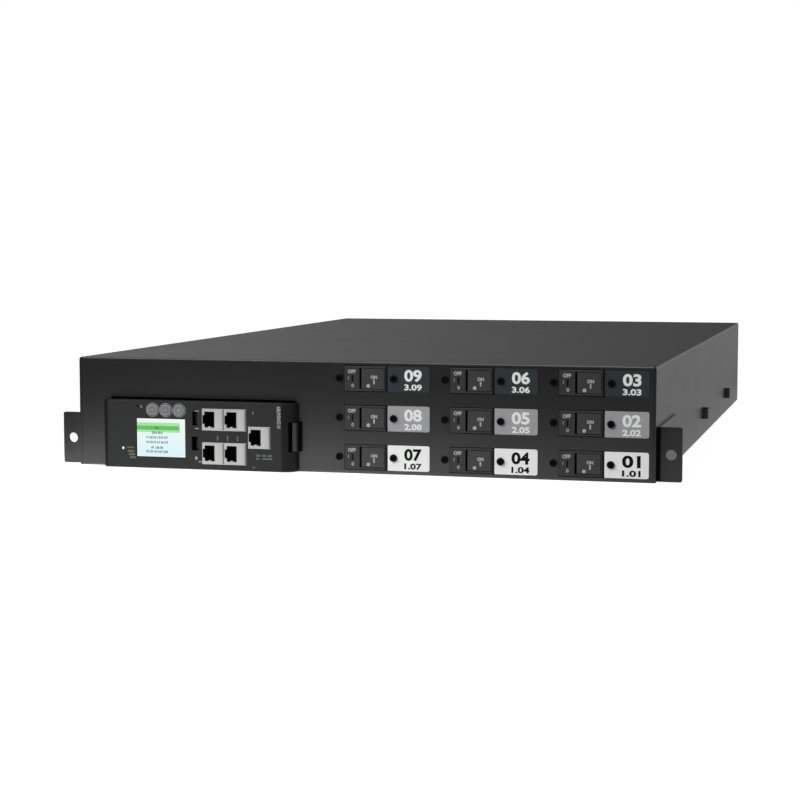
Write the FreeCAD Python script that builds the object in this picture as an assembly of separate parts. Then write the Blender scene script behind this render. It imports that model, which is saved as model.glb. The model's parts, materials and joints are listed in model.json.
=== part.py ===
import FreeCAD, Part
import math
import os

# Rack power distribution unit, two rack units tall, in millimetres.
# X runs to the right seen from the front, Y runs from the front to the back, Z runs up.
# Pieces are drawn with the front wall's outer face at y = 0 and the underside at z = 0.
# On export they move along Y, so that the origin lies under the middle of the whole unit.

V = FreeCAD.Vector

# Folded steel case
sheet = 1.5                 # thickness of the case's sheet
bend_inner = 0.5            # inside radius of the case's folds
fit_gap = 0.2               # between folded sheets that nest
body_depth = 720.0
front_lip = 14.0            # flange folded back over the front wall
rear_lip = 14.0             # flanges folded forward from the rear panel
rear_recess = 2.0           # rear panel set in from the cover's edge
cover_lift = 0.3            # lower edge of the cover above the underside
side_flange_height = 36.0   # base flanges inside the cover's sides
corner_relief = 4.0         # open corner between the front wall and a side flange
row_margin = 3.4            # from the outer breakers to the top and to the underside

# Hooks pressed out of the cover's sides
hook_fronts = (336.0, 560.0)
hook_length = 18.0
hook_bottom = 16.4          # lower edge of a hook's window
hook_height = 7.5
hook_reach = 5.0            # how far a hook stands out
hook_slit = 1.0             # open slit above a hook
hook_wall = 1.2             # sheet drawn thinner by the press
hook_round = 1.0

# Rack ears
ear_sheet = 2.0
ear_bend_inner = 1.0
ear_reach = 18.05
ear_setback = 8.8           # ear's face behind the front wall
ear_flange = 107.0          # length along the case's side
ear_lift = 0.3
ear_height = 39.7
ear_corner = 1.5
ear_hole_radius = 3.8
ear_hole_offset = 10.1      # from the case's side to the hole
ear_hole_rise = 19.9
ear_screw_rows = (36.0, 86.0)    # behind the ear's face
ear_screw_levels = (10.0, 28.0)

# Screws
screw_radius = 1.5
screw_gap = 0.1             # around a shank
head_radius = 2.8
head_height = 1.6
tip_inset = 0.2             # screw tip below the surface it ends in
cover_screw_reach = 4.5     # cover's screws below the rear panel's flange

# Breakers
rows = 3
columns = 3
row_pitch = 29.4
column_pitch = 81.0
face_width = 32.0
face_height = 18.4
face_proud = 0.6
breaker_depth = 65.0
breaker_edge = 0.5          # rounding of the breaker's front edges
cutout_gap = 0.5            # above and below a breaker
cutout_left_gap = 0.3
cutout_right_gap = 1.5
tab_thick = 3.0             # mounting tabs behind the front wall
tab_reach = 4.0             # tab beyond its screw
left_screw_offset = 4.0     # from the breaker's face to its left screw
right_screw_offset = 6.0
label_gap = 1.5
label_width = 32.0
label_height = 19.0
label_thick = 0.4
label_corner = 0.6
label_end_corner = 1.6      # at the label's right end
bank_margin = 4.75          # from the last label to the case's side
bank_gap = 36.0             # from the module to the first breaker

# Rocker of a breaker
fixed_face = 11.7           # still part of the face, left of the rocker
tool_slot = 1.6             # open slot beside the rocker
pocket_wall = 0.8           # right of the rocker
pocket_height = 15.6
pocket_depth = 9.6
rocker_gap = 0.3
rocker_thick = 2.6
rocker_edge = 0.5
pivot_inset = 3.5           # from the rocker's left edge to its pivot
pivot_depth = 4.1           # from the rocker's face to its pivot
hub_radius = 2.2
trunnion_radius = 1.2
trunnion_length = 0.9
pivot_gap = 0.05
trip_leg_width = 2.4        # leg that works the breaker's trip
trip_leg_length = 4.0

# Network module
module_margin = 24.25       # from the case's left side
module_lift = 0.4
module_proud = 10.0
bezel_wall = 1.6
bezel_corner = 2.0
bezel_edge = 0.8
behind_gap = 0.2            # from the bezel's wall to the pieces right behind it
end_round = 10.0            # rounded right end
bay_inset = 2.5             # bezel over the edge of its opening
bay_gap = 1.7               # open gap above the bezel
slide_gap = 0.3
case_wall = 1.0
case_depth = 60.0
case_inset = 3.0            # case in from the bezel's left end
case_headroom = 0.5         # case below the bezel's top
bay_depth = 75.0
bay_side_gap = 0.4
board_thick = 1.6
board_gap = 0.3
board_set = 4.0             # module board behind the front wall's face
rib_width = 3.0
rib_height = 3.7
rib_length = 6.0
post_radius = 2.0
post_inset = 9.0

# Display and buttons
display_offset = 26.9       # from the bezel's left end
display_width = 39.9
display_height = 29.5
display_rise = 8.6          # above the bezel's lower edge
display_set = 0.5           # glass behind the bezel's face
display_gap = 0.4
display_rim = 1.3           # frame around the glass, behind the bezel
button_radius = 4.5
button_gap = 0.3
button_flange = 5.0
button_flange_thick = 1.0
button_proud = 0.6
button_edge = 0.5
button_pitch = 10.75
button_rise = 6.6           # above the display
button_travel = 0.8
button_offset = 13.4        # from the display's left edge to the first button
stem_radius = 1.6
switch_size = 6.0
switch_height = 4.0
reset_radius = 0.8
reset_offset = 1.0
reset_rise = 9.2
light_radius = 1.0
light_gap = 0.3
light_offset = 15.8         # from the bezel's left end
light_rise = 14.9

# Network jacks and USB ports
jack_width = 17.7
jack_height = 16.6
jack_row_gap = 9.1
jack_column_gap = 1.5
jack_fit = 0.25
jack_floor_gap = 0.4
jack_headroom = 5.0         # from the upper jacks to the bezel's top
plug_width = 8.0
plug_height = 12.0
plug_depth = 12.5
plug_offset = 2.0
key_width = 1.6
key_height = 6.8
usb_offset = 7.7            # from the display to the ports' middle
usb_to_jack = 5.8
usb_length = 10.6
usb_upper_width = 4.0
usb_lower_width = 5.5
usb_shell = 1.1
usb_depth = 10.0
usb_tongue = 1.4
usb_tongue_set = 1.5        # tongue behind the port's mouth
usb_upper_rise = 38.9
usb_lower_rise = 19.8

# Module latch
end_flat = 13.5             # from the single jack to the latch pocket
latch_zone = 5.6            # from the pocket's left side to the bezel's right end
latch_bottom = 15.1
latch_opening = 22.4
latch_gap = 0.5
latch_bar = 3.7
latch_bar_offset = 2.4      # from the pocket's left side
latch_set = 3.0             # latch tip behind the bezel's face
latch_tip_round = 1.2
latch_pivot = 18.0          # behind the front wall's face
latch_tail = 4.0            # latch behind its pivot
latch_notch = 3.0           # notch in the front wall beside the bezel
latch_catch = 0.8           # hook behind the wall's edge
latch_catch_gap = 0.6
latch_catch_thick = 3.4
latch_pin_radius = 1.5
latch_pin_length = 2.6
lug_thick = 3.0
lug_reach = 5.0             # lug around the latch's pin
latch_side_gap = 1.0        # module case beside the latch pocket
bay_latch_room = 6.0        # bay's right wall beyond the bezel

# Rear outlets and input
outlet_pitch = 26.5
outlet_face_width = 38.0
outlet_face_height = 26.0
outlet_face_thick = 2.5
outlet_body_width = 33.4
outlet_body_height = 23.4
outlet_depth = 30.0
outlet_gap = 0.25
outlet_corner = 2.0
outlet_edge = 0.8           # rounding of the face's outer edge
socket_width = 30.6
socket_height = 20.6
socket_corner = 3.0
socket_depth = 18.0
core_width = 24.4
core_height = 14.4
core_corner = 2.5
blade_width = 8.4
blade_height = 2.4
blade_depth = 16.0
blade_spread = 6.5
blade_drop = 2.6
outlet_margin = 1.0         # from the outer outlets to the sheet above and below
gland_inset = 75.0          # from the case's left side
gland_thread_radius = 20.0
gland_thread_gap = 0.05     # around the thread
gland_bore_radius = 14.0
gland_hex = 26.0            # across the corners, halved
gland_hex_length = 10.0
gland_dome_radius = 22.0
gland_reach = 34.0
gland_dome_round = 4.0
gland_inside = 14.0
gland_nut_hex = 28.0
gland_nut_length = 8.0

# Power bars, wires and boards
bar_thick = 3.0
bar_height = 7.0
bar_rise = 1.0              # above the breaker's middle
bar_tail = 21.0             # bar left of the first breaker
wire_radius = 2.5
wire_drop = 4.0             # below the breaker's middle
link_thick = 2.5
link_height = 3.0
earth_rise = 2.0            # above the outlet's middle
neutral_rise = 7.0
link_reach = 12.0           # bar past the middle of its end outlet
collector = 4.0
neutral_tail = 31.0         # collector left of the first outlet's middle
earth_tail = 27.0           # collector right of the last outlet's middle
earth_foot = 16.0
neutral_feed_height = 7.0
input_length = 55.0
input_to_outlets = 60.0
input_left = 15.0           # block left of the phase bars
input_right = 18.0
input_headroom = 2.0
meter_set = 300.0           # metering board behind the front wall
meter_margin = 9.0
meter_clearance = 3.0
meter_hole_radius = 3.4
sensor_radius = 6.0
sensor_thick = 10.0
tab_width = 15.0
tab_height = 20.0
supply_inset = 40.0
supply_width = 100.0
supply_set = 330.0
supply_length = 100.0
supply_height = 32.0
supply_edge = 2.0
dock_width = 50.0
dock_offset = 49.0          # from the bezel's left end
dock_bottom = 15.0
dock_height = 20.0
dock_reach = 8.0
ribbon_width = 14.0
ribbon_thick = 0.9
ribbon_turn = 270.0
header_height = 12.0

# Sizes that follow from those above
bend = sheet + bend_inner
past = sheet                # how far a cut runs beyond the face that it opens
module_width = (display_offset + display_width + usb_offset + usb_to_jack + 3 * jack_width
                + jack_column_gap + end_flat + latch_zone)
bank_width = face_width + label_gap + label_width + column_pitch * (columns - 1)
body_width = module_margin + module_width + bank_gap + bank_width + bank_margin
half = body_width / 2
inner_half = half - sheet - fit_gap
module_left = module_margin - half
module_right = module_left + module_width
first_face = module_right + bank_gap
case_bottom = 2 * sheet + slide_gap
jack_low = case_bottom + case_wall + jack_floor_gap
jack_high = jack_low + jack_height + jack_row_gap
display_left = module_left + display_offset
display_bottom = module_lift + display_rise
button_level = display_bottom + display_height + button_rise
module_top = max(jack_high + jack_height + jack_headroom,
                 button_level + button_flange + button_gap + bezel_wall)
body_height = max((rows - 1) * row_pitch + face_height + 2 * row_margin,
                  (rows - 1) * outlet_pitch + outlet_face_height + 2 * (sheet + outlet_margin),
                  module_top + bay_gap + 2 * bend)
middle = body_height / 2
bezel_face = -module_proud
bezel_back = bezel_face + bezel_wall
rear_face = body_depth - rear_recess
outlet_back = rear_face - outlet_depth
pair_left = display_left + display_width + usb_offset + usb_to_jack
single_left = pair_left + 2 * jack_width + jack_column_gap
single_low = (jack_low + jack_high) / 2
usb_middle = display_left + display_width + usb_offset
pocket_left = module_right - latch_zone
case_right = pocket_left - latch_side_gap
case_top = module_top - case_headroom
latch_low = module_lift + latch_bottom
latch_high = latch_low + latch_opening
latch_left = pocket_left + latch_bar_offset
notch_right = module_right + latch_notch
bay_right = module_right + bay_latch_room
gland_x = gland_inset - half
bar_left = first_face - bar_tail
input_back = outlet_back - input_to_outlets
meter_left = first_face - meter_margin
front_most = bezel_face - button_proud
rear_most = rear_face + gland_reach
mid_depth = (front_most + rear_most) / 2


def level(row, pitch):
    """Height of a row's middle, counted from the lowest row."""
    return middle + (row - (rows - 1) / 2) * pitch


def face_left(column):
    """Left edge of a breaker's face."""
    return first_face + column * column_pitch


def outlet_x(column):
    """Middle of an outlet, straight behind its breaker."""
    return face_left(column) + face_width / 2


def bank_number(row, column):
    """Circuit number: the lowest breaker of the last column is the first."""
    return (columns - 1 - column) * rows + row + 1


def each_bank():
    """Every row and column of the bank, in turn."""
    return [(row, column) for row in range(rows) for column in range(columns)]


# Simple shapes

def box(x0, x1, y0, y1, z0, z1):
    """Box between two corners."""
    return Part.makeBox(x1 - x0, y1 - y0, z1 - z0, V(x0, y0, z0))


def rod(axis, radius, foot, length):
    """Round rod along an axis, from its foot."""
    return Part.makeCylinder(radius, length, V(*foot), axis)


X_AXIS, Y_AXIS, Z_AXIS = V(1, 0, 0), V(0, 1, 0), V(0, 0, 1)


def soften(shape, radius, pick):
    """Round the edges that the test picks."""
    return shape.makeFillet(radius, [edge for edge in shape.Edges if pick(edge)])


def runs_along(edge, axis):
    """True for a straight edge along an axis."""
    straight = isinstance(edge.Curve, Part.Line)
    return straight and abs(edge.tangentAt(edge.FirstParameter).dot(axis)) > 0.999


def lies_at(edge, axis, place):
    """True for an edge whose points all have one coordinate."""
    return all(abs(vertex.Point.dot(axis) - place) < 1e-6 for vertex in edge.Vertexes)


def rounded_block(x0, x1, y0, y1, z0, z1, radius):
    """Box whose edges along Y are rounded."""
    return soften(box(x0, x1, y0, y1, z0, z1), radius, lambda edge: runs_along(edge, Y_AXIS))


def path_edges(points, radius, place):
    """Edges along a run of points that turns at right angles, with rounded corners."""
    edges = []
    here = points[0]
    short = radius * (1 - math.sqrt(0.5))
    for before, corner, after in zip(points, points[1:], points[2:]):
        away = [unit(corner, before), unit(corner, after)]
        start, end = [(corner[0] + radius * u[0], corner[1] + radius * u[1]) for u in away]
        top = tuple(corner[i] + short * (away[0][i] + away[1][i]) for i in (0, 1))
        edges.append(Part.LineSegment(place(here), place(start)).toShape())
        edges.append(Part.Arc(place(start), place(top), place(end)).toShape())
        here = end
    edges.append(Part.LineSegment(place(here), place(points[-1])).toShape())
    return edges


def unit(start, end):
    """Direction from one flat point to another."""
    length = math.hypot(end[0] - start[0], end[1] - start[1])
    return ((end[0] - start[0]) / length, (end[1] - start[1]) / length)


def folded(points, thick, inner_radius, turn, place, along):
    """Folded sheet: its outer corners, its thickness and the side it grows to, pushed along a line."""
    steps = [unit(a, b) for a, b in zip(points, points[1:])]
    grow = [(-turn * thick * step[1], turn * thick * step[0]) for step in steps]
    inner = []
    for index, point in enumerate(points):
        shift = [grow[i] for i in {max(index - 1, 0), min(index, len(grow) - 1)}]
        inner.append((point[0] + sum(s[0] for s in shift), point[1] + sum(s[1] for s in shift)))
    edges = path_edges(points, inner_radius + thick, place)
    edges.append(Part.LineSegment(place(points[-1]), place(inner[-1])).toShape())
    edges += path_edges(inner[::-1], inner_radius, place)
    edges.append(Part.LineSegment(place(inner[0]), place(points[0])).toShape())
    return Part.Face(Part.Wire(edges)).extrude(along)


def both_sides(shape):
    """A shape and its mirror image on the other side."""
    return [shape, shape.mirror(V(0, 0, 0), X_AXIS)]


# Case

def base_tray():
    """Front wall, bottom and side flanges, folded from one sheet."""
    flange_end = rear_face - rear_lip - corner_relief
    outline = [(body_depth - rear_recess, 0), (0, 0), (0, body_height), (front_lip, body_height)]
    tray = folded(outline, sheet, bend_inner, -1,
                  lambda p: V(-inner_half, p[0], p[1]), V(2 * inner_half, 0, 0))
    flange_start = bend + corner_relief
    side = [(inner_half - 2 * bend, 0), (inner_half, 0), (inner_half, side_flange_height)]
    flange = folded(side, sheet, bend_inner, 1, lambda p: V(p[0], flange_start, p[1]),
                    V(0, flange_end - flange_start, 0))
    strip = box(inner_half - bend, inner_half + past, flange_start, flange_end, -past, bend)
    tray = tray.cut(both_sides(strip) + top_corners())
    tabs = [box(x, x + tab_width, meter_set + board_thick, meter_set + board_thick + sheet, 0, tab_height)
            for x in meter_tab_places()]
    tray = tray.fuse(both_sides(flange) + tabs)
    holes = [breaker_cutout(row, column) for row, column in each_bank()]
    holes += [screw_hole(Y_AXIS, (x, 0, z), sheet) for x, z in breaker_screw_places()]
    holes += side_screw_holes()
    holes += [screw_hole(Z_AXIS, (x, y, 0), sheet) for x, y in rear_screw_places()]
    holes.append(box(module_left + bay_inset, module_right - bay_inset, -past, sheet + past,
                     2 * sheet, module_top + bay_gap))
    holes.append(box(module_right - bay_inset - past, notch_right, -past, sheet + past,
                     latch_low, latch_high))
    return tray.cut(holes).removeSplitter()


def top_corners():
    """Corners taken off a wall so that it clears the cover's upper folds."""
    edge = bend + fit_gap
    return both_sides(box(half - edge, half, -past, body_depth, body_height - edge, body_height + past))


def breaker_cutout(row, column):
    """Opening in the front wall around a breaker's face."""
    x, z = face_left(column), level(row, row_pitch)
    tall = face_height / 2 + cutout_gap
    return box(x - cutout_left_gap, x + face_width + cutout_right_gap, -past, sheet + past,
               z - tall, z + tall)


def top_cover():
    """Top and both sides in one sheet, with pressed hooks low on the sides."""
    outline = [(half, cover_lift), (half, body_height), (-half, body_height), (-half, cover_lift)]
    cover = folded(outline, sheet, bend_inner, 1, lambda p: V(p[0], 0, p[1]), V(0, body_depth, 0))
    cuts = [box(bend - half, half - bend, -past, front_lip + fit_gap,
                body_height - sheet - past, body_height + past)]
    for front in hook_fronts:
        cuts += both_sides(hook_hollow(front, half + past, hook_bottom + hook_height + hook_slit))
    cuts += side_screw_holes()
    cuts += [Part.makeCone(screw_radius + screw_gap, head_radius + screw_gap, sheet,
                           V(x, y, body_height - sheet)) for x, y in cover_screw_places()]
    hooks = [hook for front in hook_fronts for hook in both_sides(side_hook(front))]
    return cover.cut(cuts).fuse(hooks).removeSplitter()


def hook_hollow(front, outside, top):
    """Space inside a hook on the right side, from the case out to its wall."""
    return box(half - sheet - past, outside, front + hook_wall, front + hook_length - hook_wall,
               hook_bottom, top)


def side_hook(front):
    """Pocket pressed out of the cover's right side, open at its top."""
    outside, top = half + hook_reach, hook_bottom + hook_height
    pocket = box(half - sheet, outside, front, front + hook_length, hook_bottom - hook_wall, top)
    pocket = soften(pocket, hook_round,
                    lambda e: lies_at(e, X_AXIS, outside) and not lies_at(e, Z_AXIS, top))
    return pocket.cut(hook_hollow(front, outside - hook_wall, top + past))


def rear_panel():
    """Rear wall with flanges above and below, and openings for the outlets and the gland."""
    start = rear_face - rear_lip
    top = body_height - sheet
    outline = [(start, sheet), (rear_face, sheet), (rear_face, top), (start, top)]
    panel = folded(outline, sheet, bend_inner, 1,
                   lambda p: V(-inner_half, p[0], p[1]), V(2 * inner_half, 0, 0))
    wide, tall = outlet_body_width / 2 + outlet_gap, outlet_body_height / 2 + outlet_gap
    inside = rear_face - sheet
    holes = top_corners()
    for row, column in each_bank():
        x, z = outlet_x(column), level(row, outlet_pitch)
        holes.append(rounded_block(x - wide, x + wide, inside - past, rear_face + past,
                                   z - tall, z + tall, outlet_corner))
    holes.append(rod(Y_AXIS, gland_thread_radius + gland_thread_gap, (gland_x, inside - past, middle),
                     sheet + 2 * past))
    holes += [screw_hole(Z_AXIS, (x, y, sheet), sheet) for x, y in rear_panel_screw_places()]
    holes += [screw_hole(Z_AXIS, (x, y, top - sheet), sheet) for x, y in cover_screw_places()]
    return panel.cut(holes).removeSplitter()


def right_ear():
    """L-shaped bracket that fixes the unit in a rack."""
    tip = half + ear_reach
    outline = [(tip, ear_setback), (half, ear_setback), (half, ear_setback + ear_flange)]
    ear = folded(outline, ear_sheet, ear_bend_inner, -1,
                 lambda p: V(p[0], p[1], ear_lift), V(0, 0, ear_height))
    ear = soften(ear, ear_corner, lambda e: runs_along(e, Y_AXIS) and lies_at(e, X_AXIS, tip))
    ear = soften(ear, ear_corner,
                 lambda e: runs_along(e, X_AXIS) and lies_at(e, Y_AXIS, ear_setback + ear_flange))
    rack_hole = rod(Y_AXIS, ear_hole_radius, (half + ear_hole_offset, ear_setback - past, ear_hole_rise),
                    ear_sheet + 2 * past)
    screw_holes = [screw_hole(X_AXIS, (half, y, z), ear_sheet) for y, z in ear_screw_places()]
    return ear.cut([rack_hole] + screw_holes)


# Screws

def screw_hole(axis, foot, thick):
    """Cutter for a screw's hole through a sheet, from the sheet's near face."""
    return rod(axis, screw_radius + screw_gap, V(*foot) - axis * past, thick + 2 * past)


def side_screw_holes():
    """Cutters for the ears' screws, through both sheets of each side."""
    seat = inner_half - sheet
    holes = [screw_hole(X_AXIS, (seat, y, z), half - seat) for y, z in ear_screw_places()]
    return [hole for one in holes for hole in both_sides(one)]


def ear_screw_places():
    """Depth and height of each screw in an ear's flange."""
    return [(ear_setback + y, z) for y in ear_screw_rows for z in ear_screw_levels]


def ear_screws():
    """Screws from inside the case into the ears."""
    seat = inner_half - sheet
    screws = []
    for y, z in ear_screw_places():
        head = rod(X_AXIS, head_radius, (seat - head_height, y, z), head_height)
        shank = rod(X_AXIS, screw_radius, (seat, y, z), half + ear_sheet - tip_inset - seat)
        screws += both_sides(head.fuse(shank))
    return screws


def cover_screw_places():
    """Places of the flush screws along the cover's rear edge."""
    y = rear_face - rear_lip / 2
    spots = [gland_x] + [outlet_x(column) - column_pitch / 2 for column in range(columns)]
    return [(x, y) for x in spots]


def cover_screws():
    """Countersunk screws that hold the cover to the rear panel."""
    seat = body_height - sheet
    screws = []
    for x, y in cover_screw_places():
        head = Part.makeCone(screw_radius, head_radius, sheet, V(x, y, seat))
        screws.append(head.fuse(rod(-Z_AXIS, screw_radius, (x, y, seat), sheet + cover_screw_reach)))
    return screws


def rear_panel_screw_places():
    """Places of the screws in the rear panel's lower flange."""
    return cover_screw_places()


def earth_screw_place():
    """Place of the screw in the earth bar's foot."""
    x = outlet_x(columns - 1) + earth_tail + collector / 2
    return x, outlet_back - link_thick - earth_foot / 2


def rear_screw_places():
    """Every upright screw in the base."""
    return rear_panel_screw_places() + [earth_screw_place()]


def rear_screws():
    """Screws down into the base: the rear panel's flange and the earth bar's foot."""
    seats = [(x, y, 2 * sheet) for x, y in rear_panel_screw_places()]
    seats.append((*earth_screw_place(), sheet + link_thick))
    screws = []
    for x, y, z in seats:
        head = rod(Z_AXIS, head_radius, (x, y, z), head_height)
        screws.append(head.fuse(rod(Z_AXIS, screw_radius, (x, y, tip_inset), z - tip_inset)))
    return screws


def breaker_screw_offsets():
    """Each screw's distance from its breaker's left edge, and the thickness of the label under it."""
    return [(-left_screw_offset, 0), (face_width + right_screw_offset, label_thick)]


def breaker_screw_places():
    """Places of the breakers' screws on the front wall."""
    return [(face_left(column) + offset, level(row, row_pitch))
            for row, column in each_bank() for offset, _ in breaker_screw_offsets()]


def breaker_screws():
    """Two screws for each breaker, through the front wall into its tabs."""
    screws = []
    for row, column in each_bank():
        for offset, under in breaker_screw_offsets():
            place = (face_left(column) + offset, -under, level(row, row_pitch))
            head = rod(-Y_AXIS, head_radius, place, head_height)
            head = soften(head, head_height / 2, lambda e: lies_at(e, Y_AXIS, -under - head_height))
            reach = under + sheet + tab_thick - tip_inset
            screws.append(head.fuse(rod(Y_AXIS, screw_radius, place, reach)))
    return screws


# Breakers

def rocker_edges():
    """Left, right and half height of a rocker, measured from its breaker's left edge."""
    left = fixed_face + tool_slot
    right = face_width - pocket_wall - rocker_gap
    return left, right, pocket_height / 2 - rocker_gap


def rocker_pivot(column):
    """Place of a rocker's upright pivot."""
    return face_left(column) + rocker_edges()[0] + pivot_inset, pivot_depth - face_proud


def breaker(row, column):
    """Breaker's housing with its mounting tabs and the rocker's pocket."""
    x, z = face_left(column), level(row, row_pitch)
    tall = face_height / 2
    body = box(x, x + face_width, -face_proud, breaker_depth, z - tall, z + tall)
    body = soften(body, breaker_edge, lambda e: lies_at(e, Y_AXIS, -face_proud))
    tabs = box(x - left_screw_offset - tab_reach, x + face_width + right_screw_offset + tab_reach,
               sheet, sheet + tab_thick, z - tall, z + tall)
    pocket = box(x + fixed_face, x + face_width - pocket_wall, -face_proud - past, pocket_depth - face_proud,
                 z - pocket_height / 2, z + pocket_height / 2)
    pivot_x, pivot_y = rocker_pivot(column)
    reach = pocket_height / 2 - rocker_gap + trunnion_length + pivot_gap
    bearing = rod(Z_AXIS, trunnion_radius + pivot_gap, (pivot_x, pivot_y, z - reach), 2 * reach)
    holes = [screw_hole(Y_AXIS, (x + offset, sheet, z), tab_thick) for offset, _ in breaker_screw_offsets()]
    return body.fuse(tabs).cut([pocket, bearing] + holes)


def rocker(row, column):
    """Flat rocker on an upright pivot: its right end swings out when the circuit is off."""
    x, z = face_left(column), level(row, row_pitch)
    left, right, tall = rocker_edges()
    slab = box(x + left, x + right, -face_proud, rocker_thick - face_proud, z - tall, z + tall)
    slab = soften(slab, rocker_edge, lambda e: lies_at(e, Y_AXIS, -face_proud))
    pivot_x, pivot_y = rocker_pivot(column)
    hub = rod(Z_AXIS, hub_radius, (pivot_x, pivot_y, z - tall), 2 * tall)
    pin_half = tall + trunnion_length
    pin = rod(Z_AXIS, trunnion_radius, (pivot_x, pivot_y, z - pin_half), 2 * pin_half)
    leg = box(pivot_x - trip_leg_width / 2, pivot_x + trip_leg_width / 2, pivot_y, pivot_y + trip_leg_length,
              z - tall / 2, z + tall / 2)
    return slab.fuse([hub, pin, leg])


def label_row(row):
    """Thin plates beside one row of breakers, each with a hole for its breaker's screw."""
    z = level(row, row_pitch)
    plates = []
    for column in range(columns):
        x = face_left(column) + face_width + label_gap
        right = x + label_width
        plate = box(x, right, -label_thick, 0, z - label_height / 2, z + label_height / 2)
        plate = soften(plate, label_corner, lambda e: runs_along(e, Y_AXIS) and lies_at(e, X_AXIS, x))
        plate = soften(plate, label_end_corner, lambda e: runs_along(e, Y_AXIS) and lies_at(e, X_AXIS, right))
        screw_x = face_left(column) + face_width + right_screw_offset
        plates.append(plate.cut(screw_hole(Y_AXIS, (screw_x, -label_thick, z), label_thick)))
    return plates


# Network module

def bezel_profile(inset):
    """Block with the bezel's outline, shrunk by an inset: rounded at its right end."""
    left, right = module_left + inset, module_right - inset
    front = bezel_face + inset
    low, high = module_lift + inset, module_top - inset
    corner = max(bezel_corner - inset, bezel_edge / 2)
    end = min(end_round, module_proud) - inset

    def line(*ends):
        return Part.LineSegment(*[V(x, y, low) for x, y in ends]).toShape()

    def arc(*points):
        return Part.Arc(*[V(x, y, low) for x, y in points]).toShape()

    bow, end_bow = [radius * (1 - math.sqrt(0.5)) for radius in (corner, end)]
    edges = [line((left, 0), (left, front + corner)),
             arc((left, front + corner), (left + bow, front + bow), (left + corner, front)),
             line((left + corner, front), (right - end, front)),
             arc((right - end, front), (right - end_bow, front + end_bow), (right, front + end))]
    if module_proud > end_round:
        edges.append(line((right, front + end), (right, 0)))
    edges.append(line((right, 0), (left, 0)))
    return Part.Face(Part.Wire(edges)).extrude(V(0, 0, high - low))


def module_bezel():
    """Moulded front of the network module, with every opening in it."""
    outer = bezel_profile(0)
    outer = soften(outer, bezel_edge, lambda e: not lies_at(e, Y_AXIS, 0)
                   and (lies_at(e, Z_AXIS, module_lift) or lies_at(e, Z_AXIS, module_top)))
    pocket_walls = box(pocket_left - bezel_wall, half, bezel_face, 0,
                       latch_low - bezel_wall, latch_high + bezel_wall)
    shell = outer.cut(bezel_profile(bezel_wall)).fuse(outer.common(pocket_walls))
    posts = [rod(Y_AXIS, post_radius, (x, bezel_back, z), board_set - bezel_back) for x, z in post_places()]

    def window(x0, x1, z0, z1):
        return box(x0, x1, bezel_face - past, bezel_back + past, z0, z1)

    def round_hole(x, z, radius):
        return rod(Y_AXIS, radius, (x, bezel_face - past, z), bezel_wall + 2 * past)

    cuts = [box(pocket_left, half, bezel_face - past, past, latch_low, latch_high)]
    cuts.append(window(display_left - display_gap, display_left + display_width + display_gap,
                       display_bottom - display_gap, display_bottom + display_height + display_gap))
    cuts += [round_hole(x, button_level, button_radius + button_gap) for x in button_places()]
    cuts.append(round_hole(display_left + reset_offset, display_bottom + display_height + reset_rise,
                           reset_radius))
    cuts.append(round_hole(module_left + light_offset, module_lift + light_rise, light_radius + light_gap))
    cuts += [window(x - jack_fit, x + count * jack_width + jack_fit,
                    z - jack_fit, z + jack_height + jack_fit) for x, z, count in jack_blocks()]
    cuts += [window(usb_middle - wide / 2, usb_middle + wide / 2, z - usb_length / 2, z + usb_length / 2)
             for wide, z in usb_places()]
    return shell.fuse(posts).cut(cuts).removeSplitter()


def post_places():
    """Places of the posts that carry the module's board."""
    left, right = module_left + post_inset, case_right - post_inset / 2
    low, high = jack_low + post_radius + jack_floor_gap, button_level
    return [(left, low), (left, high), (right, low), (right, high)]


def button_places():
    """Middle of each button along the bezel."""
    return [display_left + button_offset + i * button_pitch for i in range(3)]


def jack_blocks():
    """Left edge, lower edge and number of jacks in each block."""
    return [(pair_left, jack_high, 2), (pair_left, jack_low, 2), (single_left, single_low, 1)]


def usb_places():
    """Width and height of the middle of each USB port."""
    return [(usb_upper_width, module_lift + usb_upper_rise), (usb_lower_width, module_lift + usb_lower_rise)]


def module_case():
    """Box behind the bezel, with ribs behind the board and lugs for the latch."""
    left = module_left + case_inset
    shell = box(left, case_right, 0, case_depth, case_bottom, case_top)
    inside = box(left + case_wall, case_right - case_wall, -past, case_depth - case_wall,
                 case_bottom + case_wall, case_top - case_wall)
    rib_start = board_set + board_thick
    ribs = [box(x, x + rib_width, rib_start, rib_start + rib_length, z, z + rib_height)
            for x in (left + case_wall, case_right - case_wall - rib_width)
            for z in (case_bottom + case_wall, case_top - case_wall - rib_height)]
    pin_x = latch_left + latch_bar / 2
    lugs = [box(case_right, pin_x + lug_reach / 2, latch_pivot - lug_reach, latch_pivot + lug_reach,
                z, z + lug_thick) for z in (latch_low + latch_gap, latch_high - latch_gap - lug_thick)]
    bore = rod(Z_AXIS, latch_pin_radius + pivot_gap, (pin_x, latch_pivot, latch_low), latch_opening)
    return shell.cut(inside).fuse(ribs + lugs).cut(bore)


def module_board():
    """Circuit board behind the bezel, with the buttons' switches on it."""
    left = module_left + case_inset + case_wall + board_gap
    right = case_right - case_wall - board_gap
    low, high = case_bottom + case_wall + board_gap, case_top - case_wall - board_gap
    board = box(left, right, board_set, board_set + board_thick, low, high)
    size = switch_size / 2
    switches = [box(x - size, x + size, board_set - switch_height, board_set,
                    button_level - size, button_level + size) for x in button_places()]
    return board.fuse(switches).removeSplitter()


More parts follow.
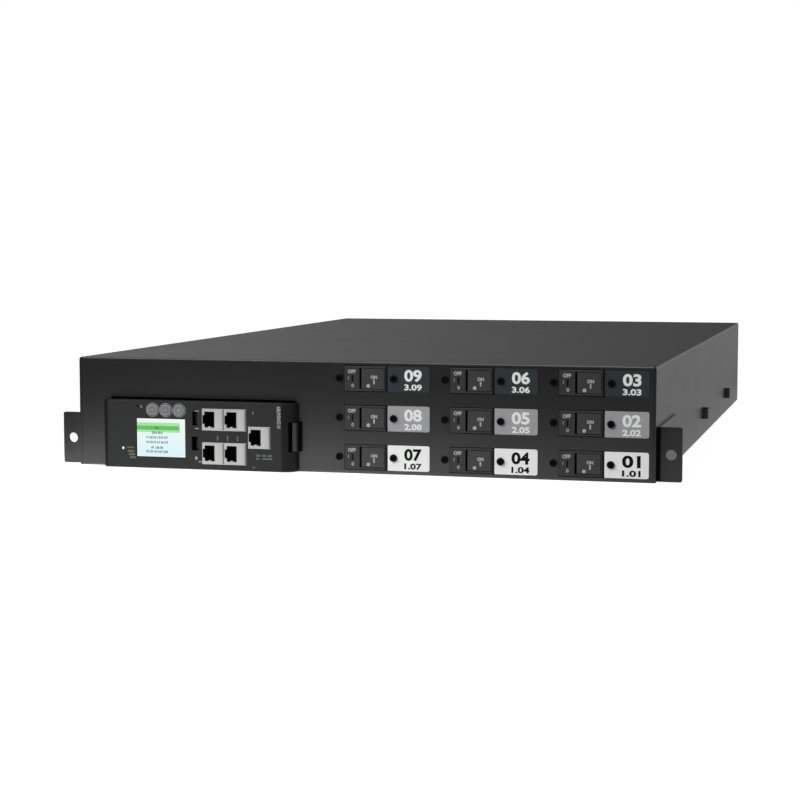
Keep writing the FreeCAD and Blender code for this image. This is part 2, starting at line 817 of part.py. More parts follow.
def display_unit():
    """Display with its glass in the bezel's opening and its frame behind the bezel."""
    right, top = display_left + display_width, display_bottom + display_height
    glass = box(display_left, right, bezel_face + display_set, bezel_back + behind_gap, display_bottom, top)
    frame = box(display_left - display_rim, right + display_rim, bezel_back + behind_gap, board_set,
                display_bottom - display_rim, top + display_rim)
    return glass.fuse(frame)


def jack_block(x, z, count):
    """Shielded network jacks side by side, each open to the front with its key slot to the left."""
    block = box(x, x + count * jack_width, bezel_face, board_set, z, z + jack_height)
    middle_z = z + jack_height / 2
    cavities = []
    for index in range(count):
        left = x + index * jack_width + plug_offset
        cavities.append(box(left, left + plug_width, bezel_face - past, bezel_face + plug_depth,
                            middle_z - plug_height / 2, middle_z + plug_height / 2))
        cavities.append(box(left - key_width, left + past, bezel_face - past, bezel_face + plug_depth,
                            middle_z - key_height / 2, middle_z + key_height / 2))
    return block.cut(cavities)


def usb_ports():
    """Two upright USB ports behind the bezel, each with its contact tongue."""
    front = bezel_back + behind_gap
    ports = []
    for wide, z in usb_places():
        side, tall = wide / 2, usb_length / 2
        shell = box(usb_middle - side - usb_shell, usb_middle + side + usb_shell, front, board_set,
                    z - tall - usb_shell, z + tall + usb_shell)
        hollow = box(usb_middle - side, usb_middle + side, front - past, front + usb_depth,
                     z - tall, z + tall)
        tongue = box(usb_middle + side - 2 * usb_tongue, usb_middle + side - usb_tongue,
                     front + usb_tongue_set, front + usb_depth, z - tall + usb_shell, z + tall - usb_shell)
        ports.append(shell.cut(hollow).fuse(tongue))
    return ports


def status_light():
    """Light pipe from the board to the bezel's face."""
    return rod(Y_AXIS, light_radius, (module_left + light_offset, bezel_face, module_lift + light_rise),
               board_set - bezel_face)


def button(x):
    """Round push button, held behind the bezel by its flange."""
    cap_front = bezel_face - button_proud
    flange_front = bezel_back + button_gap
    cap = rod(Y_AXIS, button_radius, (x, cap_front, button_level), flange_front - cap_front)
    cap = soften(cap, button_edge, lambda e: lies_at(e, Y_AXIS, cap_front))
    flange = rod(Y_AXIS, button_flange, (x, flange_front, button_level), button_flange_thick)
    stem_start = flange_front + button_flange_thick
    stem_end = board_set - switch_height - button_travel - button_gap
    stem = rod(Y_AXIS, stem_radius, (x, stem_start, button_level), stem_end - stem_start)
    return cap.fuse([flange, stem])


def module_latch():
    """Lever at the module's right end: pressed to the left, it frees its hook from the front wall."""
    right = latch_left + latch_bar
    low, high = latch_low + latch_gap, latch_high - latch_gap
    neck_start = latch_pivot - lug_reach - latch_gap
    neck_low, neck_high = low + lug_thick + latch_gap, high - lug_thick - latch_gap
    bar = box(latch_left, right, bezel_face + latch_set, neck_start, low, high)
    bar = soften(bar, latch_tip_round,
                 lambda e: runs_along(e, Z_AXIS) and lies_at(e, Y_AXIS, bezel_face + latch_set))
    catch_start = sheet + latch_catch_gap
    catch = box(right, notch_right + latch_catch, catch_start, catch_start + latch_catch_thick, low, high)
    neck = box(latch_left, right, neck_start, latch_pivot + latch_tail, neck_low, neck_high)
    pin = rod(Z_AXIS, latch_pin_radius, ((latch_left + right) / 2, latch_pivot, neck_low - latch_pin_length),
              neck_high - neck_low + 2 * latch_pin_length)
    return bar.fuse([catch, neck, pin]).removeSplitter()


def module_bay():
    """Folded guide in the case that the module slides into."""
    left = module_left + case_inset - bay_side_gap - sheet
    start = bend + slide_gap
    outline = [(left, case_top), (left, sheet), (bay_right, sheet), (bay_right, case_top)]
    guide = folded(outline, sheet, bend_inner, 1, lambda p: V(p[0], start, p[1]), V(0, bay_depth - start, 0))
    back = box(left, bay_right, bay_depth, bay_depth + sheet, sheet, case_top)
    dock_x = module_left + dock_offset
    gap = box(dock_x - fit_gap, dock_x + dock_width + fit_gap, bay_depth - past, bay_depth + sheet + past,
              dock_bottom - fit_gap, dock_bottom + dock_height + fit_gap)
    return guide.fuse(back).cut(gap).removeSplitter()


def dock_connector():
    """Connector behind the module, with a leg down to the data ribbon."""
    x = module_left + dock_offset
    back = bay_depth + sheet
    plug = box(x, x + dock_width, case_depth, back + dock_reach, dock_bottom, dock_bottom + dock_height)
    leg = box(x, x + ribbon_width, back, back + dock_reach, sheet + ribbon_thick, dock_bottom)
    return plug.fuse(leg).removeSplitter()


# Power path and electronics

def outlet_row(row):
    """Three appliance outlets: a socket ring around a core with three blade slots."""
    return [outlet(outlet_x(column), level(row, outlet_pitch)) for column in range(columns)]


def outlet(x, z):
    """One outlet, with its mouth to the rear."""
    front = rear_face + outlet_face_thick

    def block(width, height, y0, y1, radius):
        return rounded_block(x - width / 2, x + width / 2, y0, y1, z - height / 2, z + height / 2, radius)

    face = block(outlet_face_width, outlet_face_height, rear_face, front, outlet_corner)
    face = soften(face, outlet_edge, lambda e: lies_at(e, Y_AXIS, front))
    body = block(outlet_body_width, outlet_body_height, outlet_back, rear_face, outlet_corner)
    ring = block(socket_width, socket_height, front - socket_depth, front + past, socket_corner)
    core = block(core_width, core_height, front - socket_depth, front - outlet_edge, core_corner)
    slots = [box(x + dx - blade_width / 2, x + dx + blade_width / 2, front - blade_depth, front + past,
                 z + dz - blade_height / 2, z + dz + blade_height / 2)
             for dx, dz in ((-blade_spread, -blade_drop), (blade_spread, -blade_drop), (0, blade_drop))]
    return face.fuse(body).cut(ring).fuse(core).cut(slots).removeSplitter()


def hexagon(radius, y, length):
    """Six-sided block around the gland's axis."""
    angles = [math.radians(60 * i) for i in range(7)]
    corners = [V(gland_x + radius * math.cos(a), y, middle + radius * math.sin(a)) for a in angles]
    return Part.Face(Part.makePolygon(corners)).extrude(V(0, length, 0))


def cable_gland():
    """Gland for the input lead, with its thread through the rear panel."""
    start = rear_face - sheet - gland_inside
    dome = rod(Y_AXIS, gland_dome_radius, (gland_x, rear_face, middle), gland_reach)
    dome = soften(dome, gland_dome_round, lambda e: lies_at(e, Y_AXIS, rear_face + gland_reach))
    thread = rod(Y_AXIS, gland_thread_radius, (gland_x, start, middle), rear_face - start)
    bore = rod(Y_AXIS, gland_bore_radius, (gland_x, start - past, middle),
               gland_reach + rear_face - start + 2 * past)
    return dome.fuse([hexagon(gland_hex, rear_face, gland_hex_length), thread]).cut(bore)


def gland_nut():
    """Lock nut on the gland's thread, inside the rear panel."""
    start = rear_face - sheet - gland_nut_length
    bore = rod(Y_AXIS, gland_thread_radius + gland_thread_gap, (gland_x, start - past, middle),
               gland_nut_length + 2 * past)
    return hexagon(gland_nut_hex, start, gland_nut_length).cut(bore)


def phase_bar(row):
    """Copper bar behind one row of breakers, and its run back to the input block."""
    low = level(row, row_pitch) + bar_rise
    high = low + bar_height
    right = face_left(columns - 1) + face_width
    across = box(bar_left, right, breaker_depth, breaker_depth + bar_thick, low, high)
    along = box(bar_left, bar_left + bar_thick, breaker_depth, input_back - input_length, low, high)
    return across.fuse(along).removeSplitter()


def link_bars(x0, x1, rise):
    """Bars across the backs of the outlets, one for each row."""
    return [box(x0, x1, outlet_back - link_thick, outlet_back, level(row, outlet_pitch) + rise,
                level(row, outlet_pitch) + rise + link_height) for row in range(rows)]


def neutral_bar():
    """Neutral bars joined at their left end, with a run to the input block."""
    left = outlet_x(0) - neutral_tail
    bars = link_bars(left, outlet_x(columns - 1) + link_reach, neutral_rise)
    low = level(0, outlet_pitch) + neutral_rise
    high = level(rows - 1, outlet_pitch) + neutral_rise + link_height
    joiner = box(left, left + collector, outlet_back - link_thick, outlet_back, low, high)
    feed = box(left, left + collector, input_back, outlet_back, middle, middle + neutral_feed_height)
    return bars[0].fuse(bars[1:] + [joiner, feed]).removeSplitter()


def earth_bar():
    """Earth bars joined at their right end, with a foot on the base."""
    right = outlet_x(columns - 1) + earth_tail
    bars = link_bars(outlet_x(0) - link_reach, right + collector, earth_rise)
    high = level(rows - 1, outlet_pitch) + earth_rise + link_height
    joiner = box(right, right + collector, outlet_back - link_thick, outlet_back, sheet, high)
    x, y = earth_screw_place()
    foot = box(x - earth_foot / 2, x + earth_foot / 2, y - earth_foot / 2, outlet_back,
               sheet, sheet + link_thick)
    hole = screw_hole(Z_AXIS, (x, y, sheet), link_thick)
    return bars[0].fuse(bars[1:] + [joiner, foot]).cut(hole).removeSplitter()


def input_block():
    """Distribution block where the input lead is clamped."""
    return box(bar_left - input_left, bar_left + input_right, input_back - input_length, input_back,
               sheet, body_height - sheet - input_headroom)


def wire_places():
    """Place of each load wire, straight from its breaker to its outlet."""
    return [(outlet_x(column), level(row, row_pitch) - wire_drop) for row, column in each_bank()]


def load_wires():
    """Straight wires from the breakers to the outlets."""
    length = outlet_back - breaker_depth
    return [rod(Y_AXIS, wire_radius, (x, breaker_depth, z), length) for x, z in wire_places()]


def meter_tab_places():
    """Left edge of each tab that holds the metering board."""
    return [outlet_x(column) + (column_pitch - tab_width) / 2 for column in range(columns - 1)]


def metering_board():
    """Upright board with a hole for each load wire and a header for the data ribbon."""
    right = face_left(columns - 1) + face_width + meter_margin
    board = box(meter_left, right, meter_set, meter_set + board_thick, sheet + meter_clearance,
                body_height - sheet - meter_clearance)
    holes = [rod(Y_AXIS, meter_hole_radius, (x, meter_set - past, z), board_thick + 2 * past)
             for x, z in wire_places()]
    header = box(meter_left, meter_left + ribbon_width, meter_set - dock_reach, meter_set,
                 sheet + ribbon_thick, header_height)
    return board.cut(holes).fuse(header).removeSplitter()


def current_sensors():
    """Ring on the metering board around each load wire."""
    start = meter_set - sensor_thick
    rings = []
    for x, z in wire_places():
        hole = rod(Y_AXIS, meter_hole_radius, (x, start - past, z), sensor_thick + 2 * past)
        rings.append(rod(Y_AXIS, sensor_radius, (x, start, z), sensor_thick).cut(hole))
    return rings


def control_supply():
    """Cased power supply for the electronics."""
    left = supply_inset - half
    top = sheet + supply_height
    case = box(left, left + supply_width, supply_set, supply_set + supply_length, sheet, top)
    return soften(case, supply_edge, lambda e: lies_at(e, Z_AXIS, top))


def data_ribbon():
    """Flat ribbon on the base, from the dock connector to the metering board."""
    left = module_left + dock_offset
    right = meter_left + ribbon_width
    top = sheet + ribbon_thick
    back = box(left, left + ribbon_width, bay_depth + sheet, ribbon_turn, sheet, top)
    across = box(left, right, ribbon_turn - ribbon_width, ribbon_turn, sheet, top)
    out = box(meter_left, right, ribbon_turn - ribbon_width, meter_set, sheet, top)
    return back.fuse([across, out]).removeSplitter()


def save(node, shapes):
    """Write one node, moved so that the origin lies under the middle of the unit."""
    whole = Part.makeCompound(shapes) if isinstance(shapes, list) else shapes
    whole.translate(V(0, -mid_depth, 0))
    whole.exportStep(f"parts/{node}.step")


def main():
    os.makedirs("parts", exist_ok=True)
    save("base_tray", base_tray())
    save("top_cover", top_cover())
    save("rear_panel", rear_panel())
    for node, ear in zip(("right_ear", "left_ear"), both_sides(right_ear())):
        save(node, ear)
    save("ear_screws", ear_screws())
    save("cover_screws", cover_screws())
    save("rear_screws", rear_screws())
    save("breaker_screws", breaker_screws())
    for row, column in each_bank():
        number = bank_number(row, column)
        save(f"breaker_{number}", breaker(row, column))
        save(f"rocker_{number}", rocker(row, column))
    for row in range(rows):
        save(f"labels_row_{row + 1}", label_row(row))
        save(f"outlets_row_{row + 1}", outlet_row(row))
        save(f"phase_bar_{row + 1}", phase_bar(row))
    save("module_bezel", module_bezel())
    save("module_case", module_case())
    save("module_board", module_board())
    save("module_bay", module_bay())
    save("module_latch", module_latch())
    save("dock_connector", dock_connector())
    save("display_unit", display_unit())
    for index, x in enumerate(button_places()):
        save(f"button_{index + 1}", button(x))
    blocks = [jack_block(*block) for block in jack_blocks()]
    save("jack_pairs", blocks[:2])
    save("jack_single", blocks[2])
    save("usb_ports", usb_ports())
    save("status_light", status_light())
    save("cable_gland", cable_gland())
    save("gland_nut", gland_nut())
    save("neutral_bar", neutral_bar())
    save("earth_bar", earth_bar())
    save("input_block", input_block())
    save("load_wires", load_wires())
    save("metering_board", metering_board())
    save("current_sensors", current_sensors())
    save("control_supply", control_supply())
    save("data_ribbon", data_ribbon())


main()
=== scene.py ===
import json
import math

import bmesh
import bpy
from bpy.props import FloatProperty, FloatVectorProperty, PointerProperty
from mathutils import Matrix, Vector


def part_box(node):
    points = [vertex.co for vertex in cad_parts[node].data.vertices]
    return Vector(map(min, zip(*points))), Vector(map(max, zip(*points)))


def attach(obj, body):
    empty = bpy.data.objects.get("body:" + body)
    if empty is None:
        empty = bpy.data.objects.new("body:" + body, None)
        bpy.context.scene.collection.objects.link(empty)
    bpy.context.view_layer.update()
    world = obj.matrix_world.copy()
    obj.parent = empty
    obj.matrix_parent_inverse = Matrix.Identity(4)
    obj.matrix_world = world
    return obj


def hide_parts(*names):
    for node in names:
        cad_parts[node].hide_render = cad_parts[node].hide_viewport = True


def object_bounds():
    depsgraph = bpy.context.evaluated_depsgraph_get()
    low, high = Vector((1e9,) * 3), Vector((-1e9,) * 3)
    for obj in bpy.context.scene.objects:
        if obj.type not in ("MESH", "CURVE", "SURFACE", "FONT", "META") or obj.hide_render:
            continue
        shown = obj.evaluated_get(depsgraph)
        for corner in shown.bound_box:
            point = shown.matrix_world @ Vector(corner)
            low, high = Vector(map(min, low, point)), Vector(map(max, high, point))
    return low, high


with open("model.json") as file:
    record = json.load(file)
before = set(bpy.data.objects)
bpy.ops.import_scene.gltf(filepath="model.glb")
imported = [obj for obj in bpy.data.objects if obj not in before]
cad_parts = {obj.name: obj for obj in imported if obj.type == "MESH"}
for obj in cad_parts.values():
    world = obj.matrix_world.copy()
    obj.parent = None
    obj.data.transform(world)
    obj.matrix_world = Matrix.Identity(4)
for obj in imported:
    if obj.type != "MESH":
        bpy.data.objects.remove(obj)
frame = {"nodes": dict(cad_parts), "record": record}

bl_info = {
    "name": "Rack power distribution unit",
    "version": (1, 0, 0),
    "blender": (4, 5, 0),
    "location": "3D View > Sidebar > Power unit",
    "description": "Finishes, print, contacts and stage for a rack power distribution unit",
    "category": "Object",
}

CAD_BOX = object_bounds()
MM = 0.001
CHASSIS = "chassis"
ROWS = (1, 2, 3)
CIRCUITS = range(1, 10)
RECORD_COLOUR = {entry["slot"]: entry["base_color"] for entry in frame["record"]["materials"]}
FRONT = Matrix.Rotation(math.radians(90), 4, "X")
REAR = Matrix.Rotation(math.radians(180), 4, "Z") @ FRONT
UPRIGHT = FRONT @ Matrix.Rotation(math.radians(90), 4, "Z")
WHITE = (1.0, 1.0, 1.0, 1.0)
MERGE = 1e-7                 # vertices that lie closer than this become one, in metres
SHARP = math.radians(35)     # edges that bend more than this stay sharp
PRINT_ROUNDING = 0.4         # of the edges of a printed bar, as a share of its lift

# Places on the front that the frame's boxes don't give, in metres
ROCKER_INSET = 13.3 * MM     # from a breaker's left edge to its rocker
LEFT_SCREW = -4.0 * MM       # from a breaker's left edge to its screws
RIGHT_SCREW = 38.0 * MM
PLUG = (2.0 * MM, 10.0 * MM, 12.0 * MM, 12.5 * MM)   # a jack's opening: left, right, height, depth
KEY = (1.6 * MM, 6.8 * MM)                           # width and height of the opening's key slot
BUTTON_HOLE = 4.8 * MM       # radius of the bezel's hole around a button
DISPLAY_RIM = 1.3 * MM       # display's frame behind the module's front
LAYER = 0.03 * MM            # between the lit layers of the display

# Grained finishes: sizes of the grain and of its clouding, spread of the colour, range of the roughness and
# whether the clouding sets it, strength and depth of the relief, and level of reflection
COAT = {"grain": 0.9 * MM, "cloud": 60 * MM, "spread": (0.9, 1.1), "sheen": (0.30, 0.38), "cloudy": True,
        "strength": 0.25, "depth": 0.05 * MM, "gloss": 0.9}
PLASTIC = {"grain": 0.35 * MM, "cloud": 15 * MM, "spread": (0.86, 1.14), "sheen": (0.45, 0.58),
           "cloudy": False, "strength": 0.3, "depth": 0.03 * MM, "gloss": 0.3}
INK = {"grain": 0.25 * MM, "cloud": 6 * MM, "spread": (0.95, 1.04), "sheen": (0.45, 0.6), "cloudy": False,
       "strength": 0.1, "depth": 0.01 * MM, "gloss": 0.5}

# Lit screen
CELL = 0.17 * MM             # side of a cell of the picture
CELL_EDGE = 0.12             # share of a cell that its dark edge takes
EDGE_LIGHT = 0.88            # share of the picture that still shows on that edge
EDGE_TINT = 0.4              # share of the colour that is left where it doesn't
UNLIT = ((0.004, 0.004, 0.004), (0.01, 0.01, 0.01))   # colour under the light, on edges and in cells


# Sizes and colours that a user would change

def colour(name, description, default):
    """Colour property of a finish."""
    return FloatVectorProperty(name=name, description=description, subtype="COLOR", size=3,
                               min=0.0, max=1.0, default=default)


def length(name, description, default_mm):
    """Length property, given in millimetres and kept in metres."""
    return FloatProperty(name=name, description=description, subtype="DISTANCE", unit="LENGTH",
                         min=0.0, precision=5, default=default_mm * MM)


def angle(name, description, degrees):
    """Angle property, given in degrees and kept in radians."""
    return FloatProperty(name=name, description=description, subtype="ANGLE", unit="ROTATION",
                         default=math.radians(degrees))


class PowerUnitColours(bpy.types.PropertyGroup):
    """Colours of the unit's finishes"""

    case: colour("Case", "Powder coat of the case and the ears", (0.0100, 0.0101, 0.0103))
    breaker: colour("Breaker", "Moulded housing of a breaker", (0.029, 0.029, 0.0295))
    rocker: colour("Rocker", "Moulded rocker of a breaker", (0.036, 0.036, 0.0365))
    bezel: colour("Bezel", "Moulded front of the network module", (0.024, 0.0242, 0.0246))
    label_white: colour("Bottom labels", "Label plates of the bottom row", (0.92, 0.92, 0.915))
    label_grey: colour("Middle labels", "Label plates of the middle row", (0.355, 0.355, 0.365))
    label_slate: colour("Top labels", "Label plates of the top row", (0.022, 0.030, 0.035))
    ink_white: colour("White print", "Digits on the dark labels and beside the outlets", (0.85, 0.85, 0.85))
    ink_black: colour("Black print", "Digits on the white labels", (0.004, 0.004, 0.004))
    ink_pale: colour("Pale print", "Marks on the breakers", (0.42, 0.42, 0.42))
    ink_grey: colour("Grey print", "Marks on the module", (0.36, 0.36, 0.36))
    ink_olive: colour("Olive print", "Mark beside the status light", (0.12, 0.11, 0.045))
    ink_dim: colour("Dim print", "Small marks on the module", (0.10, 0.106, 0.096))
    button: colour("Buttons", "Caps of the round buttons", (0.17, 0.17, 0.175))
    button_ring: colour("Button rings", "Rings on and around the buttons", (0.30, 0.30, 0.305))
    shield: colour("Jack shields", "Tin plate around the network jacks", (0.53, 0.53, 0.525))
    plate: colour("Jack plates", "Bright plate beside each network jack", (0.53, 0.53, 0.525))
    contact: colour("Contacts", "Contacts in the jacks and outlets", (0.83, 0.58, 0.22))
    socket: colour("Socket plastic", "Plastic in the jacks and outlets", (0.010, 0.010, 0.011))
    screw: colour("Black screws", "Black screws and the breakers' windows", (0.0035, 0.0035, 0.0038))
    display: colour("Display", "Frame of the display", (0.012, 0.012, 0.013))
    screen: colour("Screen", "Upper ground of the display", (0.93, 0.98, 0.98))
    screen_foot: colour("Screen foot", "Lower ground of the display", (0.72, 0.95, 0.985))
    screen_glow: colour("Screen glow", "Edge of the display's heading", (0.42, 0.86, 0.40))
    screen_bar: colour("Screen bar", "Heading bar of the display", (0.14, 0.58, 0.13))
    screen_ink: colour("Screen digits", "Digits on the display", (0.025, 0.065, 0.075))
    latch: colour("Latch", "Part of the latch that a finger presses", (0.045, 0.045, 0.046))
    lamp: colour("Status light", "Status light and its lit end", (0.80, 1.00, 0.78))
    copper: colour("Copper", "Bars that carry the current", (0.72, 0.40, 0.25))


class PowerUnitSizes(bpy.types.PropertyGroup):
    """Sizes of the print and of the small fittings"""

    print_lift: length("Print lift", "How far print stands above its surface", 0.04)
    print_root: length("Print root", "How far print reaches below its surface", 0.03)
    digit_height: length("Digit height", "Height of a label's circuit number", 9.0)
    line_height: length("Line height", "Height of a label's lower line", 4.6)
    digit_width: length("Digit width", "Width of the print on a label", 13.4)
    liner_wall: length("Jack liner", "Wall of the plastic liner in a jack", 0.35)
    contact_width: length("Contact width", "Width of a spring contact in a jack", 0.36)
    contact_pitch: length("Contact pitch", "Distance between the contacts of a jack", 1.02)
    recess_depth: length("Screw recess", "Depth of the cross in a screw's head", 0.9)
    outlet_digit: length("Outlet digits", "Height of the numbers beside the outlets", 6.0)


class PowerUnitStage(bpy.types.PropertyGroup):
    """Floor and camera"""

    floor_size: length("Floor", "Side of the floor", 14000.0)
    # Radius of the floor's painted pool of light, within which it pales and glows in reflections
    pool_size: length("Lit floor", "Radius of the brightest part of the floor", 260.0)
    camera_place: FloatVectorProperty(name="Camera", description="Where the camera stands",
                                      subtype="TRANSLATION", unit="LENGTH", size=3,
                                      default=(0.38485, -1.69023, 0.17497))
    camera_yaw: angle("Yaw", "How far the camera turns to the left", 14.896)
    camera_tilt: angle("Tilt", "How far the camera looks down", 4.978)
    camera_lens: FloatProperty(name="Lens", description="Focal length", unit="CAMERA", default=83.297)


# Node helpers

def put(tree, kind, sockets=None, **settings):
    """Add a node, apply its settings, then set or link its sockets by name or number."""
    node = tree.nodes.new(kind)
    for name, value in settings.items():
        setattr(node, name, value)
    for name, value in (sockets or {}).items():
        if isinstance(value, bpy.types.NodeSocket):
            tree.links.new(value, node.inputs[name])
        else:
            node.inputs[name].default_value = value
    return node


def maths(tree, operation, *values):
    """Result of an operation on values or sockets."""
    return put(tree, "ShaderNodeMath", dict(enumerate(values)), operation=operation).outputs[0]


def ramp(tree, value, start, end, low=0.0, high=1.0, smooth=False):
    """Value moved from one range to another and held at its ends."""
    sockets = {"Value": value, "From Min": start, "From Max": end, "To Min": low, "To Max": high}
    kind = "SMOOTHSTEP" if smooth else "LINEAR"
    return put(tree, "ShaderNodeMapRange", sockets, interpolation_type=kind).outputs[0]


def ranged(tree, value, low, high):
    """Value from 0 to 1 moved to a range."""
    return ramp(tree, value, 0.0, 1.0, low, high)


def opaque(tint):
    """Colour with full alpha, or a socket as it is."""
    return tint if isinstance(tint, bpy.types.NodeSocket) else (*tint, 1.0)


def mixed(tree, mask, low, high):
    """Colour that goes from low to high with a mask."""
    sockets = {0: mask, 6: opaque(low), 7: opaque(high)}
    return put(tree, "ShaderNodeMix", sockets, data_type="RGBA").outputs[2]


def scaled(tint, factor):
    """Colour made lighter or darker."""
    return tuple(min(1.0, part * factor) for part in tint)


def varied(tree, mask, tint, spread):
    """Colour that goes from a darker to a lighter share of itself with a mask."""
    return mixed(tree, mask, *(scaled(tint, share) for share in spread))


def object_place(tree):
    """Place on the piece, in metres."""
    return tree.nodes.new("ShaderNodeTexCoord").outputs["Object"]


def along(tree, axis):
    """Place on the piece along one axis, in metres."""
    return put(tree, "ShaderNodeSeparateXYZ", {0: object_place(tree)}).outputs[axis]


def shared(tree, name, fill, outputs, **inputs):
    """Outputs of a shared node group, which is made once, with named sockets, and filled by a function."""
    group = bpy.data.node_groups.get(name)
    if group is None:
        group = bpy.data.node_groups.new(name, "ShaderNodeTree")
        for way, labels in (("INPUT", inputs), ("OUTPUT", outputs)):
            for label in labels:
                group.interface.new_socket(label, in_out=way, socket_type="NodeSocketFloat")
        ends = fill(group, group.nodes.new("NodeGroupInput").outputs)
        put(group, "NodeGroupOutput", dict(zip(outputs, ends)))
    return put(tree, "ShaderNodeGroup", inputs, node_tree=group).outputs


def fill_grain(tree, given):
    """Fine grain for bump, and slow clouding for colour and sheen, both by size in metres."""
    ends = []
    for size, detail, roughness in (("Grain", 2.0, 0.55), ("Cloud", 4.0, 0.6)):
        scale = maths(tree, "DIVIDE", 1.0, given[size])
        sockets = {"Vector": object_place(tree), "Scale": scale, "Detail": detail, "Roughness": roughness}
        ends.append(put(tree, "ShaderNodeTexNoise", sockets).outputs[0])
    return ends


def fill_lines(tree, given):
    """Fine lines drawn along X, as rolling or brushing leaves them."""
    parts = put(tree, "ShaderNodeSeparateXYZ", {0: object_place(tree)}).outputs
    stretched = maths(tree, "DIVIDE", parts[0], given["Stretch"])
    place = put(tree, "ShaderNodeCombineXYZ", {0: stretched, 1: parts[1], 2: parts[2]}).outputs[0]
    scale = maths(tree, "DIVIDE", 1.0, given["Width"])
    lines = put(tree, "ShaderNodeTexNoise", {"Vector": place, "Scale": scale, "Detail": 3.0}).outputs[0]
    return lines, ranged(tree, lines, 0.2, 0.8)


def fill_pixels(tree, given):
    """Grid of lit cells, dark along their edges, and the height on the piece."""
    cells = []
    for axis in (0, 2):
        share = maths(tree, "FRACT", maths(tree, "DIVIDE", along(tree, axis), given["Pitch"]))
        cells.append(maths(tree, "GREATER_THAN", share, CELL_EDGE))
    return maths(tree, "MULTIPLY", *cells), along(tree, 2)


def new_finish(name, gloss=0.5):
    """New material with a level of reflection, its tree and its shader."""
    material = bpy.data.materials.new(name)
    material.use_nodes = True
    shader = material.node_tree.nodes["Principled BSDF"]
    shader.inputs["Specular IOR Level"].default_value = gloss
    return material, material.node_tree, shader


def lay_on(tree, shader, look, sheen, height, strength, depth):
    """Lead a colour, a roughness and a relief into the shader."""
    bump = put(tree, "ShaderNodeBump", {"Strength": strength, "Distance": depth, "Height": height})
    tree.links.new(look, shader.inputs["Base Color"])
    tree.links.new(sheen, shader.inputs["Roughness"])
    tree.links.new(bump.outputs[0], shader.inputs["Normal"])


# Finishes

def grained(name, tint, kind, fades=(), **own):
    """Finish of a kind with values of its own, which painted shade can darken along an axis between two
    places.
    """
    given = {**kind, **own}
    material, tree, shader = new_finish(name, given["gloss"])
    height, cloud = shared(tree, "Fine grain", fill_grain, ("Height", "Clouding"), Grain=given["grain"],
                           Cloud=given["cloud"])
    look = varied(tree, cloud, tint, given["spread"])
    # Painted shade: the colour darkens to a share of itself between two places along an axis
    for axis, start, end, share in fades:
        look = mixed(tree, ramp(tree, along(tree, axis), start, end), look, scaled(tint, share))
    sheen = ranged(tree, cloud if given["cloudy"] else height, *given["sheen"])
    lay_on(tree, shader, look, sheen, height, given["strength"], given["depth"])
    return material


def plated(name, tint, sheen=(0.28, 0.42), metal=1.0):
    """Bright sheet metal with fine drawn lines, duller where less of it is metal."""
    material, tree, shader = new_finish(name)
    height, streak = shared(tree, "Drawn lines", fill_lines, ("Height", "Streak"), Width=0.12 * MM,
                            Stretch=40.0)
    shader.inputs["Metallic"].default_value = metal
    lay_on(tree, shader, varied(tree, streak, tint, (0.9, 1.06)), ranged(tree, streak, *sheen), height,
           strength=0.15, depth=0.02 * MM)
    return material


def glowing(name, tint, low_tint, low, high, glow):
    """Lit screen: cells that fade from one colour to another up its height."""
    material, tree, shader = new_finish(name, gloss=0.2)
    lit, height = shared(tree, "Pixel cells", fill_pixels, ("Lit", "Height"), Pitch=CELL)
    picture = mixed(tree, ramp(tree, height, low, high), low_tint, tint)
    cells = mixed(tree, ranged(tree, lit, EDGE_LIGHT, 1.0), scaled(tint, EDGE_TINT), picture)
    tree.links.new(mixed(tree, lit, *UNLIT), shader.inputs["Base Color"])
    tree.links.new(cells, shader.inputs["Emission Color"])
    shader.inputs["Emission Strength"].default_value = glow
    shader.inputs["Roughness"].default_value = 0.3
    return material


def board_finish(name):
    """Circuit board: solder mask over a pattern of tracks."""
    material, tree, shader = new_finish(name)
    tracks = put(tree, "ShaderNodeTexVoronoi", {"Vector": object_place(tree), "Scale": 260.0},
                 feature="DISTANCE_TO_EDGE", distance="MANHATTAN")
    track_width = 0.08
    edge = maths(tree, "LESS_THAN", tracks.outputs[0], track_width)
    lay_on(tree, shader, varied(tree, edge, RECORD_COLOUR["board_green"], (0.7, 1.5)),
           ranged(tree, edge, 0.3, 0.45), edge, strength=0.2, depth=0.03 * MM)
    return material


# Mesh helpers

def placed(name, data):
    """New object in the scene."""
    made = bpy.data.objects.new(name, data)
    bpy.context.scene.collection.objects.link(made)
    return made


def closed(name, mesh, material):
    """Mesh data with its finish, from a mesh that is no longer needed."""
    data = bpy.data.meshes.new(name)
    mesh.to_mesh(data)
    mesh.free()
    data.materials.append(material)
    return data


def verts_of(geometry):
    """Vertices among what an operator made."""
    return [item for item in geometry if isinstance(item, bmesh.types.BMVert)]


def once(items):
    """Each item once, in the order in which they come."""
    return list(dict.fromkeys(items))


def joined_to(verts):
    """All vertices that hang together with the given ones."""
    found = dict.fromkeys(verts)
    waiting = list(found)
    while waiting:
        vert = waiting.pop()
        for edge in vert.link_edges:
            other = edge.other_vert(vert)
            if other not in found:
                found[other] = None
                waiting.append(other)
    return list(found)


def round_edges(mesh, verts, rounding, segments):
    """Round all edges at the given vertices, and return what takes their place."""
    edges = once(edge for vert in verts for edge in vert.link_edges)
    return bmesh.ops.bevel(mesh, geom=edges, offset=rounding, segments=segments, profile=0.5,
                           affect="EDGES", material=-1, clamp_overlap=True)["verts"]


def add_block(mesh, low, high, rounding=0.0, segments=2):
    """Box between two corners, with rounded edges."""
    low, high = Vector(low), Vector(high)
    made = bmesh.ops.create_cube(mesh, size=1.0)["verts"]
    bmesh.ops.scale(mesh, verts=made, vec=high - low)
    bmesh.ops.translate(mesh, verts=made, vec=(low + high) / 2)
    return round_edges(mesh, made, rounding, segments) if rounding else made


